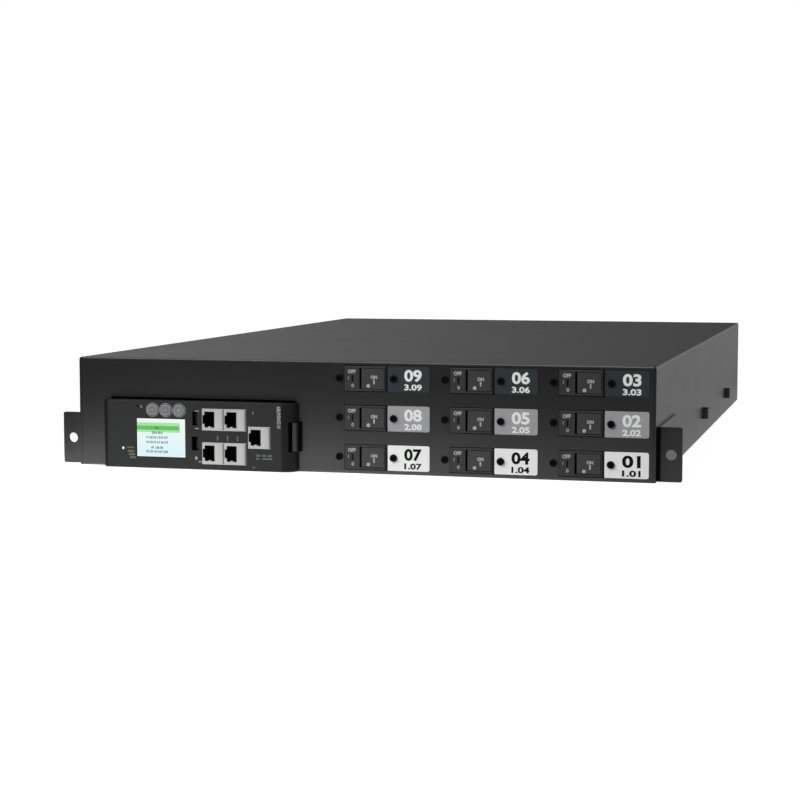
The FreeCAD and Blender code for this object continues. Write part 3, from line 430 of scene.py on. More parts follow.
def add_circle(mesh, radius, corners):
    """Flat face around the origin, with its corners on a circle."""
    made = bmesh.ops.create_circle(mesh, cap_ends=True, radius=radius, segments=corners)["verts"]
    return made[0].link_faces[0]


def thicken(mesh, faces, thick):
    """Extrude faces along Z, keep the old ones, and return the new vertices."""
    made = verts_of(bmesh.ops.extrude_face_region(mesh, geom=faces, use_keep_orig=True)["geom"])
    bmesh.ops.translate(mesh, verts=made, vec=(0, 0, thick))
    return made


def stand(mesh, verts, place, turn=FRONT):
    """Turn vertices to the front, or another way, and move them to a place."""
    bmesh.ops.transform(mesh, verts=verts, matrix=Matrix.Translation(place) @ turn)


def add_disc(mesh, middle, radius, thick, turn=FRONT, corners=32):
    """Flat plate with its corners on a circle, whose back lies at its middle."""
    made = thicken(mesh, [add_circle(mesh, radius, corners)], thick)
    stand(mesh, joined_to(made), middle, turn)


def raise_face(mesh, face, level, radius):
    """Extrude a face to a level along Z, and to a new radius if one is given."""
    inner = any(len(edge.link_faces) > 1 for edge in face.edges)
    made = bmesh.ops.extrude_face_region(mesh, geom=[face])["geom"]
    verts = verts_of(made)
    top = next(item for item in made if isinstance(item, bmesh.types.BMFace))
    for vert in verts:
        vert.co.z = level
    if radius:
        now = max(vert.co.xy.length for vert in verts)
        bmesh.ops.scale(mesh, verts=verts, vec=(radius / now, radius / now, 1.0))
    if inner:
        bmesh.ops.delete(mesh, geom=[face], context="FACES_ONLY")
    return top


def lettering(text, weight):
    """Raised lettering as a mesh of its own, flat in XY."""
    curve = bpy.data.curves.new("lettering", "FONT")
    curve.body = text
    curve.offset = weight
    curve.extrude = 0.5
    curve.resolution_u = 4
    holder = placed("lettering", curve)
    mesh = bpy.data.meshes.new_from_object(holder.evaluated_get(bpy.context.evaluated_depsgraph_get()))
    bpy.data.objects.remove(holder)
    bpy.data.curves.remove(curve)
    return mesh


def add_text(mesh, text, middle, width, height, turn=FRONT, weight=0.02):
    """Lettering of a width and height, raised a little from the surface that its middle lies on."""
    sizes = bpy.context.scene.power_unit_sizes
    before = set(mesh.verts)
    source = lettering(text, weight)
    mesh.from_mesh(source)
    bpy.data.meshes.remove(source)
    made = [vert for vert in mesh.verts if vert not in before]
    low = Vector([min(vert.co[i] for vert in made) for i in range(3)])
    high = Vector([max(vert.co[i] for vert in made) for i in range(3)])
    span = high - low
    thick = sizes.print_lift + sizes.print_root
    size = Matrix.Diagonal((width / span.x, height / span.y, thick / span.z, 1.0))
    lift = Matrix.Translation((0, 0, (sizes.print_lift - sizes.print_root) / 2))
    place = Matrix.Translation(middle) @ turn @ lift @ size @ Matrix.Translation(-(low + high) / 2)
    bmesh.ops.transform(mesh, verts=made, matrix=place)


def moved(place, x, y, z):
    """Place moved by millimetres."""
    return place + Vector((x, y, z)) * MM


def add_words(mesh, corner, words, turn=FRONT):
    """Words in millimetres from a corner of a face: text, middle, width, height and weight of the lines."""
    for text, x, z, width, height, weight in words:
        add_text(mesh, text, moved(corner, x, 0, z), width * MM, height * MM, turn, weight)


def add_bars(mesh, corner, bars):
    """Printed bars on a face to the front, in millimetres from a corner: left, right, low, high."""
    sizes = bpy.context.scene.power_unit_sizes
    lift, root = Vector((0, sizes.print_lift, 0)), Vector((0, sizes.print_root, 0))
    for left, right, low, high in bars:
        add_block(mesh, moved(corner, left, 0, low) - lift, moved(corner, right, 0, high) + root,
                  sizes.print_lift * PRINT_ROUNDING, 1)


def make_piece(name, mesh, material, body=CHASSIS, stands_for=(), smooth=True):
    """Close a mesh into a piece of the unit and let it ride on its body."""
    bmesh.ops.remove_doubles(mesh, verts=mesh.verts, dist=MERGE)
    bmesh.ops.recalc_face_normals(mesh, faces=mesh.faces)
    data = closed(name, mesh, material)
    if smooth:
        data.shade_smooth()
        data.set_sharp_from_angle(angle=SHARP)
    piece = placed(name, data)
    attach(piece, body)
    if stands_for:
        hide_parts(*stands_for)


def dress(material, *nodes):
    """Give a finish to nodes that keep their own shape."""
    for node in nodes:
        data = frame["nodes"][node].data
        data.materials.clear()
        data.materials.append(material)


# Layout read from the frame

def middle_of(node):
    """Middle of a node's box."""
    low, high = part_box(node)
    return (low + high) / 2


def front_of(node):
    """Middle of the front of a node's box."""
    middle = middle_of(node)
    return Vector((middle.x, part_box(node)[0].y, middle.z))


def breaker_corner(number):
    """Left edge, face and middle height of a breaker's front."""
    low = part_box(f"rocker_{number}")[0]
    return Vector((low.x - ROCKER_INSET, low.y, middle_of(f"rocker_{number}").z))


def column_nodes(row):
    """Circuits of a row, from the left column to the right one."""
    return (6 + row, 3 + row, row)


def column_pitch():
    """Distance between two columns of breakers."""
    return middle_of("rocker_1").x - middle_of("rocker_4").x


def outlet_places(row):
    """Middle of each outlet's face in a row, in the order of column_nodes."""
    low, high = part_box(f"outlets_row_{row}")
    half = (high.x - low.x) / 2 - column_pitch()
    level = (low.z + high.z) / 2
    return [Vector((low.x + half + column * column_pitch(), high.y, level)) for column in range(3)]


def jack_places():
    """Front of every jack, at its left end and middle height."""
    low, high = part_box("jack_single")
    width, height = high.x - low.x, high.z - low.z
    pair_low, pair_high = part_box("jack_pairs")
    corners = [Vector((pair_low.x + column * width, pair_low.y, z))
               for z in (pair_high.z - height, pair_low.z) for column in (0, 1)]
    return [corner + Vector((0, 0, height / 2)) for corner in corners + [low]]


# Pieces

class POWERUNIT_OT_paint_case(bpy.types.Operator):
    """Coat the folded case and its ears"""

    bl_idname = "power_unit.paint_case"
    bl_label = "Paint the case"

    def execute(self, context):
        coat = grained("case_coat", context.scene.power_unit_colours.case, COAT)
        dress(coat, "base_tray", "top_cover", "rear_panel", "left_ear", "right_ear")
        return {"FINISHED"}


class POWERUNIT_OT_seat_screws(bpy.types.Operator):
    """Cross-head screws in the front wall and in the cover"""

    bl_idname = "power_unit.seat_screws"
    bl_label = "Seat the screws"

    # Shares of a head's radius: shanks in front and in the cover. Shares of radius and height up its dome
    FRONT_SHANK, FLUSH_SHANK = 0.54, 0.53
    DOME = ((1.0, 0.45), (0.97, 0.7), (0.9, 0.88), (0.75, 1.0))
    # Shares of the crown's radius: an arm of the cross and half its width. Shares of the arm: the flat
    # around the cross, and the arm at the bottom
    ARM, HALF_WIDTH = 0.66, 0.19
    FLAT, BOTTOM = 0.3, 0.7
    CORNERS = 48

    def execute(self, context):
        black = grained("black_oxide", context.scene.power_unit_colours.screw, COAT, grain=0.3 * MM,
                        sheen=(0.5, 0.6), strength=0.15, gloss=0.08)
        dress(plated("zinc_screw", RECORD_COLOUR["zinc_steel"]), "ear_screws", "rear_screws")
        make_piece("front_screws", self.front_screws(), black,
                   stands_for=["breaker_screws"])
        make_piece("flush_screws", self.flush_screws(), black,
                   stands_for=["cover_screws"])
        return {"FINISHED"}

    def front_screws(self):
        """Domed heads left of each breaker and on each label."""
        low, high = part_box("breaker_screws")
        wall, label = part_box("base_tray")[0].y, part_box("labels_row_1")[0].y
        head = label - low.y
        radius = middle_of("rocker_1").z - low.z
        shank = radius * self.FRONT_SHANK
        dome = [(radius * share, head * rise) for share, rise in self.DOME]
        mesh = bmesh.new()
        for number in CIRCUITS:
            corner = breaker_corner(number)
            for offset, seat in ((LEFT_SCREW, wall), (RIGHT_SCREW, label)):
                made = self.add_screw(mesh, [(shank, seat - high.y), (shank, 0.0), (radius, 0.0), *dome])
                stand(mesh, made, (corner.x + offset, seat, corner.z))
        return mesh

    def flush_screws(self):
        """Countersunk heads along the cover's rear edge."""
        low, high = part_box("cover_screws")
        radius = (high.y - low.y) / 2
        shank = radius * self.FLUSH_SHANK
        cone = ((shank, low.z - high.z), (shank, shank - radius), (radius, 0.0))
        places = [low.x + radius] + [place.x - column_pitch() / 2 for place in outlet_places(1)]
        mesh = bmesh.new()
        for x in places:
            made = self.add_screw(mesh, cone)
            bmesh.ops.translate(mesh, verts=made, vec=(x, low.y + radius, high.z))
        return mesh

    def add_screw(self, mesh, profile):
        """Turned screw, given as radius and level from its tip to its crown, with a cross recess."""
        (radius, level), crown = profile[0], profile[-1][0]
        face = add_circle(mesh, radius, self.CORNERS)
        tip = list(face.verts)
        bmesh.ops.translate(mesh, verts=tip, vec=(0, 0, level))
        for radius, level in profile[1:]:
            face = raise_face(mesh, face, level, radius)
        self.cut_cross(mesh, face, crown * self.ARM, crown * self.HALF_WIDTH)
        return joined_to(tip)

    def cut_cross(self, mesh, face, arm, half_width):
        """Sink a cross into the screw's crown."""
        depth = bpy.context.scene.power_unit_sizes.recess_depth
        bmesh.ops.inset_region(mesh, faces=[face], thickness=arm * self.FLAT, use_even_offset=True)
        for vert in face.verts:
            around = math.atan2(vert.co.y, vert.co.x)
            fold = abs((around + math.pi / 4) % (math.pi / 2) - math.pi / 4)
            reach = min(arm / math.cos(fold), half_width / max(math.sin(fold), 1e-6))
            vert.co.xy = (reach * math.cos(around), reach * math.sin(around))
        raise_face(mesh, face, face.verts[0].co.z - depth, arm * self.BOTTOM)


class POWERUNIT_OT_finish_breakers(bpy.types.Operator):
    """Breakers and rockers with their marks"""

    bl_idname = "power_unit.finish_breakers"
    bl_label = "Finish the breakers"

    # Words and bars from a breaker's left edge and middle height, as add_words and add_bars take them: OFF,
    # the signs for on and off, a black trip window between these, and on the rocker ON with its sign
    FACE_WORDS = (("OFF", 5.8, 5.2, 6.0, 2.9, 0.05), ("O", 6.5, -5.2, 2.0, 2.6, 0.06))
    FACE_BARS = ((3.0, 3.4, -0.9, 1.5),)
    WINDOW = ((5.7, 6.9, -2.5, 2.4),)
    ROCKER_WORDS = (("ON", 23.0, 1.2, 5.0, 2.6, 0.06),)
    ROCKER_BARS = ((22.4, 23.6, -4.0, -0.6),)
    # Round spot on the rocker: middle from the same place in millimetres, radius and relief in metres
    SPOT = (18.6, 0, -5.3)
    SPOT_RADIUS, SPOT_RELIEF = 1.4 * MM, 0.04 * MM

    def execute(self, context):
        colours = context.scene.power_unit_colours
        for name, tint, gloss in (("breaker", colours.breaker, 0.5), ("rocker", colours.rocker, 0.6)):
            nodes = [f"{name}_{number}" for number in CIRCUITS]
            dress(grained(f"{name}_plastic", tint, PLASTIC, gloss=gloss), *nodes)
        ink = grained("breaker_ink", colours.ink_pale, INK)
        face_marks, windows = bmesh.new(), bmesh.new()
        for number in CIRCUITS:
            corner = breaker_corner(number)
            add_words(face_marks, corner, self.FACE_WORDS)
            add_bars(face_marks, corner, self.FACE_BARS)
            add_bars(windows, corner, self.WINDOW)
            rocker_marks = bmesh.new()
            add_words(rocker_marks, corner, self.ROCKER_WORDS)
            add_bars(rocker_marks, corner, self.ROCKER_BARS)
            add_disc(rocker_marks, moved(corner, *self.SPOT), self.SPOT_RADIUS, self.SPOT_RELIEF)
            make_piece(f"rocker_marks_{number}", rocker_marks, ink, f"rocker_{number}")
        make_piece("breaker_marks", face_marks, ink)
        black = grained("window_plastic", colours.screw, PLASTIC, gloss=0.05)
        make_piece("breaker_windows", windows, black)
        return {"FINISHED"}


class POWERUNIT_OT_print_labels(bpy.types.Operator):
    """Label plates with plain circuit numbers"""

    bl_idname = "power_unit.print_labels"
    bl_label = "Print the labels"

    # Millimetres from a label's left edge to its print's middle, and from its middle height to both lines
    ACROSS, UPPER, LOWER = 19.4, 2.7, -5.9
    WEIGHT = 0.035

    def execute(self, context):
        colours, sizes = context.scene.power_unit_colours, context.scene.power_unit_sizes
        plates = (colours.label_white, colours.label_grey, colours.label_slate)
        inks = (colours.ink_black, colours.ink_white, colours.ink_white)
        for row, plate, ink in zip(ROWS, plates, inks):
            node = f"labels_row_{row}"
            dress(grained(f"label_film_{row}", plate, INK), node)
            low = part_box(node)[0]
            mesh = bmesh.new()
            for column, circuit in enumerate(column_nodes(row)):
                corner = Vector((low.x + column * column_pitch(), low.y, middle_of(node).z))
                for text, level, height in ((f"{circuit:02d}", self.UPPER, sizes.digit_height),
                                            (f"{row}.{circuit:02d}", self.LOWER, sizes.line_height)):
                    add_text(mesh, text, moved(corner, self.ACROSS, 0, level), sizes.digit_width, height,
                             weight=self.WEIGHT)
            make_piece(f"label_print_{row}", mesh, grained(f"label_ink_{row}", ink, INK, gloss=0.1))
        return {"FINISHED"}


class POWERUNIT_OT_finish_module(bpy.types.Operator):
    """Front of the network module with its latch, buttons, light and small marks"""

    bl_idname = "power_unit.finish_module"
    bl_label = "Finish the module"

    # Bars and an upright scale from the module's lower left corner, as add_bars and add_words take them
    PALE_BARS = (
        (30.4, 32.0, 46.4, 47.0), (30.4, 31.0, 47.3, 48.2),
        (74.6, 77.8, 44.2, 44.8), (74.6, 77.8, 31.0, 31.6),
        (74.6, 76.4, 7.6, 9.8), (77.4, 79.8, 5.6, 6.3),
    )
    DIM_BARS = (
        (92.2, 93.4, 22.4, 26.2), (100.2, 101.4, 22.4, 26.2), (108.2, 109.4, 22.4, 26.2),
        (120.4, 121.8, 43.0, 45.4), (120.4, 122.6, 2.4, 3.4),
        (123.4, 127.0, 11.2, 12.8), (128.2, 131.4, 11.2, 12.8), (132.6, 136.2, 11.2, 12.8),
        (123.4, 126.2, 8.9, 10.3), (128.2, 136.2, 8.9, 10.3),
        (19.6, 24.8, 11.8, 13.4), (20.4, 25.6, 9.4, 11.0), (21.2, 26.2, 7.0, 8.6),
    )
    OLIVE_BARS = ((19.0, 24.8, 14.8, 16.0),)
    SCALE = (("0123456789", 141.5, 41.2, 16.5, 3.0, 0.03),)
    # Painted shade where the plastic darkens, counted from the bezel's left end and right end, and on the
    # latch's catch from the bezel's face: start and end in metres, and the share of the colour that is left
    LEFT_PAINTED_SHADE = (4.4 * MM, 2.4 * MM, 0.15)
    RIGHT_PAINTED_SHADE = (-11.6 * MM, -9.6 * MM, 0.25)
    CATCH_PAINTED_SHADE = (5 * MM, 8 * MM, 0.03)
    # Buttons with the corners and the turn of their signs in degrees: up, down and a round one
    SIGNS = ((1, 3, 90), (2, 3, -90), (3, 24, 0))
    SIGN_RADIUS = 1.7 * MM
    SIGN_TINT = 1.4                      # share of the cap's colour
    RIM = (3.4 * MM, 3.95 * MM)          # ring on a cap: inner and outer radius
    RING = (BUTTON_HOLE + 0.05 * MM, BUTTON_HOLE + 0.5 * MM)   # ring around a cap
    RELIEF = 0.05 * MM
    RING_CORNERS = 40
    LIGHT_RADIUS, LIGHT_DOME = 0.36, 0.35   # share of the light's width, and share of that radius

    def execute(self, context):
        colours = context.scene.power_unit_colours
        low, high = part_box("module_bezel")
        # Painted shade at the bezel's left and right ends
        ends = (self.fade(0, low.x, *self.LEFT_PAINTED_SHADE), self.fade(0, high.x, *self.RIGHT_PAINTED_SHADE))
        dress(grained("bezel_plastic", colours.bezel, PLASTIC, ends, gloss=0.22), "module_bezel")
        # Painted shade on the latch's catch, deep behind the bezel's face
        behind = self.fade(1, low.y, *self.CATCH_PAINTED_SHADE)
        dress(grained("latch_plastic", colours.latch, PLASTIC, [behind], gloss=0.2), "module_latch")
        for name, bars, tint in (("module_marks", self.PALE_BARS, colours.ink_grey),
                                 ("module_dim_marks", self.DIM_BARS, colours.ink_dim),
                                 ("module_olive_mark", self.OLIVE_BARS, colours.ink_olive)):
            mesh = bmesh.new()
            add_bars(mesh, low, bars)
            make_piece(name, mesh, grained(f"{name}_ink", tint, INK))
        scale = bmesh.new()
        add_words(scale, low, self.SCALE, UPRIGHT)
        make_piece("module_scale", scale, bpy.data.materials["module_marks_ink"])
        self.finish_buttons(colours, low.y)
        self.light_pipe(colours)
        return {"FINISHED"}

    def fade(self, axis, edge, start, end, share):
        """Painted shade: darkening along an axis, counted from an edge."""
        return axis, edge + start, edge + end, share

    def finish_buttons(self, colours, face):
        """Caps with plain signs, and a ring on each cap and around it on the module's face."""
        dress(grained("button_plastic", colours.button, PLASTIC), "button_1", "button_2", "button_3")
        ink = grained("button_ink", scaled(colours.button, self.SIGN_TINT), INK)
        pale = grained("button_ring_ink", colours.button_ring, INK)
        rings = bmesh.new()
        for number, corners, turn in self.SIGNS:
            body = f"button_{number}"
            middle = front_of(body)
            sign, rim = bmesh.new(), bmesh.new()
            spin = FRONT @ Matrix.Rotation(math.radians(turn), 4, "Z")
            add_disc(sign, middle, self.SIGN_RADIUS, self.RELIEF, spin, corners)
            make_piece(f"button_signs_{number}", sign, ink, body)
            self.add_ring(rim, middle, *self.RIM)
            make_piece(f"button_rim_{number}", rim, pale, body)
            self.add_ring(rings, (middle.x, face, middle.z), *self.RING)
        make_piece("button_rings", rings, pale)

    def add_ring(self, mesh, middle, inner, outer):
        """Flat ring on a face that looks to the front."""
        face = add_circle(mesh, outer, self.RING_CORNERS)
        rim = bmesh.ops.inset_region(mesh, faces=[face], thickness=outer - inner, use_boundary=True,
                                     use_even_offset=True)["faces"]
        bmesh.ops.delete(mesh, geom=[face], context="FACES_ONLY")
        made = thicken(mesh, rim, self.RELIEF)
        stand(mesh, joined_to(made), middle)

    def light_pipe(self, colours):
        """Clear rod with a lit, domed end."""
        dress(grained("light_rod", colours.lamp, PLASTIC), "status_light")
        low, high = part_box("status_light")
        radius = (high.x - low.x) * self.LIGHT_RADIUS
        mesh = bmesh.new()
        made = bmesh.ops.create_uvsphere(mesh, u_segments=24, v_segments=12, radius=radius)["verts"]
        bmesh.ops.scale(mesh, verts=made, vec=(1.0, self.LIGHT_DOME, 1.0))
        bmesh.ops.translate(mesh, verts=made, vec=front_of("status_light"))
        lit = glowing("light_end", colours.lamp, colours.lamp, low.z, high.z, 1.0)
        make_piece("status_light_end", mesh, lit)


class POWERUNIT_OT_light_display(bpy.types.Operator):
    """Lit display with a heading bar and lines of plain numbers"""

    bl_idname = "power_unit.light_display"
    bl_label = "Light the display"

    # Lit layers from the glass outwards: name, glow, and margins in millimetres at left, right, foot and head
    LAYERS = (("screen_edge", 0.95, (0.3, 0.4, 0.2, 0.2)), ("screen_ground", 0.95, (0.9, 1.0, 0.8, 0.8)),
              ("screen_heading", 0.9, (0.3, 4.6, 18.9, 3.2)), ("screen_bar", 0.9, (0.3, 5.2, 20.7, 5.7)))
    # Lines of plain digits from the middle of the screen's lower edge, as add_words takes them
    LINES = tuple((line, -3.3, level, width, 1.9, 0.03) for line, level, width in (
        ("230.4 50.0", 18.6, 9.0), ("01 4.62 02 3.18 03 5.07", 15.0, 17.5),
        ("04 2.95 05 4.41 06 3.73", 11.3, 17.5), ("07 1.86 08", 7.2, 9.5),
        ("09 2.24 10.5 24.0 12:00", 4.1, 17.5)))
    HEADING = (("01", -3.3, 22.2, 2.4, 1.8, 0.02),)
    DIGIT_GLOW = 0.9

    def execute(self, context):
        colours = context.scene.power_unit_colours
        dress(grained("display_frame", colours.display, PLASTIC, sheen=(0.1, 0.15)), "display_unit")
        rim = Vector((DISPLAY_RIM, 0, DISPLAY_RIM))
        low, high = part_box("display_unit")
        low, high = low + rim, high - rim
        tints = ((colours.screen, colours.screen), (colours.screen, colours.screen_foot),
                 (colours.screen_glow, colours.screen_glow), (colours.screen_bar, colours.screen_bar))
        for layer, ((name, glow, margins), tint) in enumerate(zip(self.LAYERS, tints)):
            left, right, foot, head = margins
            mesh = bmesh.new()
            add_block(mesh, moved(low, left, 0, foot) - Vector((0, (layer + 1) * LAYER, 0)),
                      (high.x - right * MM, low.y - layer * LAYER, high.z - head * MM))
            lit = glowing(name, *tint, low.z, high.z, glow)
            make_piece(name, mesh, lit, smooth=False)
        mesh = bmesh.new()
        for words, layers in ((self.LINES, 2), (self.HEADING, 4)):
            add_words(mesh, Vector(((low.x + high.x) / 2, low.y - layers * LAYER, low.z)), words)
        ink = glowing("screen_digits", colours.screen_ink, colours.screen_ink, low.z, high.z,
                      self.DIGIT_GLOW)
        make_piece("screen_digits", mesh, ink)
        return {"FINISHED"}


class POWERUNIT_OT_fit_sockets(bpy.types.Operator):
    """Network jacks with liners, contacts and plates, and the USB ports"""

    bl_idname = "power_unit.fit_sockets"
    bl_label = "Fit the sockets"

    CONTACTS = 8
    CONTACT_REACH = 0.62                 # share of the opening's depth
    CONTACT_LEAN = Matrix.Rotation(math.radians(14), 4, "Z")
    CONTACT_ROOT = (-1.1, 2.0, 0)        # from the opening's right side and front, in millimetres
    # Small plates in millimetres from a jack's left end and middle height: two corners and the rounding
    PLATE = ((11.0, -0.12, -7.3), (16.4, 0.05, 7.3), 0.06)     # beside the opening
    TAB = ((5.1, -0.1, -7.2), (6.9, 0.6, -5.2), 0.1)           # at the opening's foot
    SEAM = ((16.5, -0.1, -8.0), (17.6, 0.05, 8.0), 0.05)       # folded edge of the shield
    LINING, DULL_TIN = 0.3, 0.33         # shares of the socket's and the shield's colour

    def execute(self, context):
        colours, sizes = context.scene.power_unit_colours, context.scene.power_unit_sizes
        dress(plated("tin_shield", colours.shield, (0.45, 0.55), metal=0.4), "jack_pairs", "jack_single")
        dress(grained("usb_plastic", colours.socket, PLASTIC), "usb_ports")
        liners, contacts, plates, seams = (bmesh.new() for _ in range(4))
        for middle in jack_places():
            self.add_liner(liners, middle, sizes.liner_wall)
            self.add_contacts(contacts, middle, sizes)
            shapes = ((plates, self.PLATE), (plates, self.TAB), (seams, self.SEAM))
            for mesh, (low, high, rounding) in shapes:
                add_block(mesh, moved(middle, *low), moved(middle, *high), rounding * MM)
        lining = grained("jack_plastic", scaled(colours.socket, self.LINING), PLASTIC, gloss=0.1)
        make_piece("jack_liners", liners, lining, smooth=False)
        make_piece("jack_contacts", contacts, plated("gilded_wire", colours.contact))
        tin = plated("tin_plate", colours.plate, (0.5, 0.6), metal=0.25)
        make_piece("jack_plates", plates, tin)
        dull = plated("tin_seam", scaled(colours.shield, self.DULL_TIN), (0.5, 0.6), metal=0.25)
        make_piece("jack_seams", seams, dull)
        return {"FINISHED"}

    def add_liner(self, mesh, middle, wall):
        """Plastic liner with the section of the opening: a block with a key slot to its left."""
        left, right, height, depth = PLUG
        key_width, key_height = KEY
        columns = (left - key_width, left, right)
        rows = (-height / 2, -key_height / 2, key_height / 2, height / 2)
        made = bmesh.ops.create_grid(mesh, x_segments=2, y_segments=3, size=1.0)["verts"]
        for vert in made:
            column, row = round(vert.co.x + 1), round((vert.co.y + 1) * 1.5)
            vert.co = (columns[column], rows[row], 0)
        cells = once(face for vert in made for face in vert.link_faces)
        outside = [cell for cell in cells if cell.calc_center_median().x < left
                   and abs(cell.calc_center_median().y) > key_height / 2]
        bmesh.ops.delete(mesh, geom=outside, context="FACES")
        section = [cell for cell in cells if cell.is_valid]
        back = thicken(mesh, section, wall - depth)
        bmesh.ops.delete(mesh, geom=section, context="FACES")
        shell = once(face for vert in back for face in vert.link_faces)
        bmesh.ops.recalc_face_normals(mesh, faces=shell)
        bmesh.ops.solidify(mesh, geom=shell, thickness=wall)
        stand(mesh, joined_to(back), middle)

    def add_contacts(self, mesh, middle, sizes):
        """Spring wires that lean in from the opening's right side."""
        _, right, _, depth = PLUG
        half = sizes.contact_width / 2
        for index in range(self.CONTACTS):
            made = add_block(mesh, (-half, 0, -half), (half, depth * self.CONTACT_REACH, half), half / 2, 1)
            level = (index - (self.CONTACTS - 1) / 2) * sizes.contact_pitch
            place = moved(middle + Vector((right, 0, level)), *self.CONTACT_ROOT)
            stand(mesh, made, place, self.CONTACT_LEAN)


class POWERUNIT_OT_fit_outlets(bpy.types.Operator):
    """Outlets at the rear with their contacts and numbers, and the gland of the input lead"""

    bl_idname = "power_unit.fit_outlets"
    bl_label = "Fit the outlets"

    # Millimetres from the middle of an outlet's face: its slots, a slot's two leaves, and its number
    SLOTS = ((-6.5, -2.6), (6.5, -2.6), (0.0, 2.6))
    LEAF_DEPTH, LEAF_OFFSET = -9.0, 0.85
    LEAF = Vector((3.6, 6.0, 0.2)) * MM  # half of a leaf's size
    LEAF_ROUNDING = 0.12 * MM
    NUMBER_PLACE = 26.0
    NUMBER_SHAPE, NUMBER_WEIGHT = 1.3, 0.03   # width to height, and weight of its lines
    # Gland's turned profile: radius, then a level and the distance from it, in millimetres
    PROFILE = (
        (14.0, "inner_end", 0.0), (19.4, "inner_end", 0.0), (20.0, "inner_end", 0.6),
        (20.0, "panel", 0.5), (20.0, "collar", 0.8), (21.0, "collar", 1.0), (22.0, "collar", 2.2),
        (22.0, "outer_end", -9.0), (20.8, "outer_end", -5.0), (17.8, "outer_end", -1.2),
        (16.6, "outer_end", 0.0), (15.2, "outer_end", 0.0), (14.0, "outer_end", -1.0),
    )
    STEPS = 96                           # of the turn
    RIBS_FROM = 21.9 * MM                # radius from which the cap has ribs
    RIB_STEPS, RIB_DEPTH = 3, 0.9 * MM
    SIX_RADIUS, SIX_LENGTH = 26.0 * MM, 10.0 * MM
    SIX_ROUNDING = 0.8 * MM

    def execute(self, context):
        colours, sizes = context.scene.power_unit_colours, context.scene.power_unit_sizes
        dress(grained("outlet_plastic", colours.socket, PLASTIC), *[f"outlets_row_{n}" for n in ROWS])
        leaves, numbers = bmesh.new(), bmesh.new()
        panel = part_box("rear_panel")[1].y
        for row in ROWS:
            for circuit, place in zip(column_nodes(row), outlet_places(row)):
                self.add_leaves(leaves, place)
                spot = moved(Vector((place.x, panel, place.z)), self.NUMBER_PLACE, 0, 0)
                add_text(numbers, f"{circuit:02d}", spot, sizes.outlet_digit * self.NUMBER_SHAPE,
                         sizes.outlet_digit, REAR, self.NUMBER_WEIGHT)
        make_piece("outlet_contacts", leaves, plated("brass_leaf", colours.contact))
        make_piece("outlet_numbers", numbers, grained("outlet_ink", colours.ink_white, INK))
        self.shape_gland(panel)
        return {"FINISHED"}

    def add_leaves(self, mesh, place):
        """Pair of spring leaves in each of an outlet's three slots."""
        for x, z in self.SLOTS:
            for offset in (-self.LEAF_OFFSET, self.LEAF_OFFSET):
                middle = moved(place, x, self.LEAF_DEPTH, z + offset)
                add_block(mesh, middle - self.LEAF, middle + self.LEAF, self.LEAF_ROUNDING, 1)

    def shape_gland(self, panel):
        """Gland with a six-sided body, a ribbed cap and a soft seal around its bore."""
        low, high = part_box("cable_gland")
        axis = Vector((middle_of("cable_gland").x, 0, middle_of("cable_gland").z))
        plastic = grained("gland_plastic", RECORD_COLOUR["gland_black"], PLASTIC)
        dress(plastic, "gland_nut")
        levels = {"inner_end": low.y, "panel": panel, "collar": panel + self.SIX_LENGTH,
                  "outer_end": high.y}
        mesh = bmesh.new()
        self.cut_ribs(self.spin_profile(mesh, axis, levels), axis)
        stand(mesh, self.six_sided(mesh), axis + Vector((0, panel, 0)), REAR)
        make_piece("gland_body", mesh, plastic, stands_for=["cable_gland"])

    def spin_profile(self, mesh, axis, levels):
        """Full turn of the closed profile around the gland's axis."""
        ring = [mesh.verts.new(axis + Vector((radius * MM, levels[level] + offset * MM, 0)))
                for radius, level, offset in self.PROFILE]
        edges = [mesh.edges.new((ring[i - 1], ring[i])) for i in range(len(ring))]
        bmesh.ops.spin(mesh, geom=ring + edges, cent=axis, axis=(0, 1, 0), angle=math.tau, steps=self.STEPS,
                       use_merge=True)
        return joined_to(ring)

    def cut_ribs(self, verts, axis):
        """Grip ribs: every third line of the cap drawn in a little."""
        for vert in verts:
            spoke = Vector((vert.co.x - axis.x, 0, vert.co.z - axis.z))
            step = round(math.atan2(spoke.z, spoke.x) / math.tau * self.STEPS)
            if spoke.length > self.RIBS_FROM and step % self.RIB_STEPS == 0:
                vert.co -= spoke.normalized() * self.RIB_DEPTH

    def six_sided(self, mesh):
        """Six-sided block with softened edges."""
        face = add_circle(mesh, self.SIX_RADIUS, 6)
        foot = list(face.verts)
        raise_face(mesh, face, self.SIX_LENGTH, None)
        return joined_to(round_edges(mesh, joined_to(foot), self.SIX_ROUNDING, 3))


class POWERUNIT_OT_finish_inside(bpy.types.Operator):
    """Bars, boards, wires and the other pieces inside the case"""

    bl_idname = "power_unit.finish_inside"
    bl_label = "Finish the inside"

    # Moulded pieces: name of the finish, slot in the record that gives its colour, and nodes
    MOULDED = (("sensor_ring", "sensor_blue", ("current_sensors",)),
               ("wire_jacket", "wire_black", ("load_wires",)),
               ("terminal_block", "block_grey", ("input_block", "dock_connector")),
               ("ribbon_film", "ribbon_grey", ("data_ribbon",)))

    def execute(self, context):
        zinc = plated("zinc_sheet", RECORD_COLOUR["zinc_steel"])
        dress(zinc, "module_bay", "module_case", "control_supply")
        dress(plated("copper_bar", context.scene.power_unit_colours.copper), "phase_bar_1", "phase_bar_2",
              "phase_bar_3", "neutral_bar", "earth_bar")
        dress(board_finish("board"), "module_board", "metering_board")
        for name, slot, nodes in self.MOULDED:
            dress(grained(name, RECORD_COLOUR[slot], PLASTIC), *nodes)
        return {"FINISHED"}


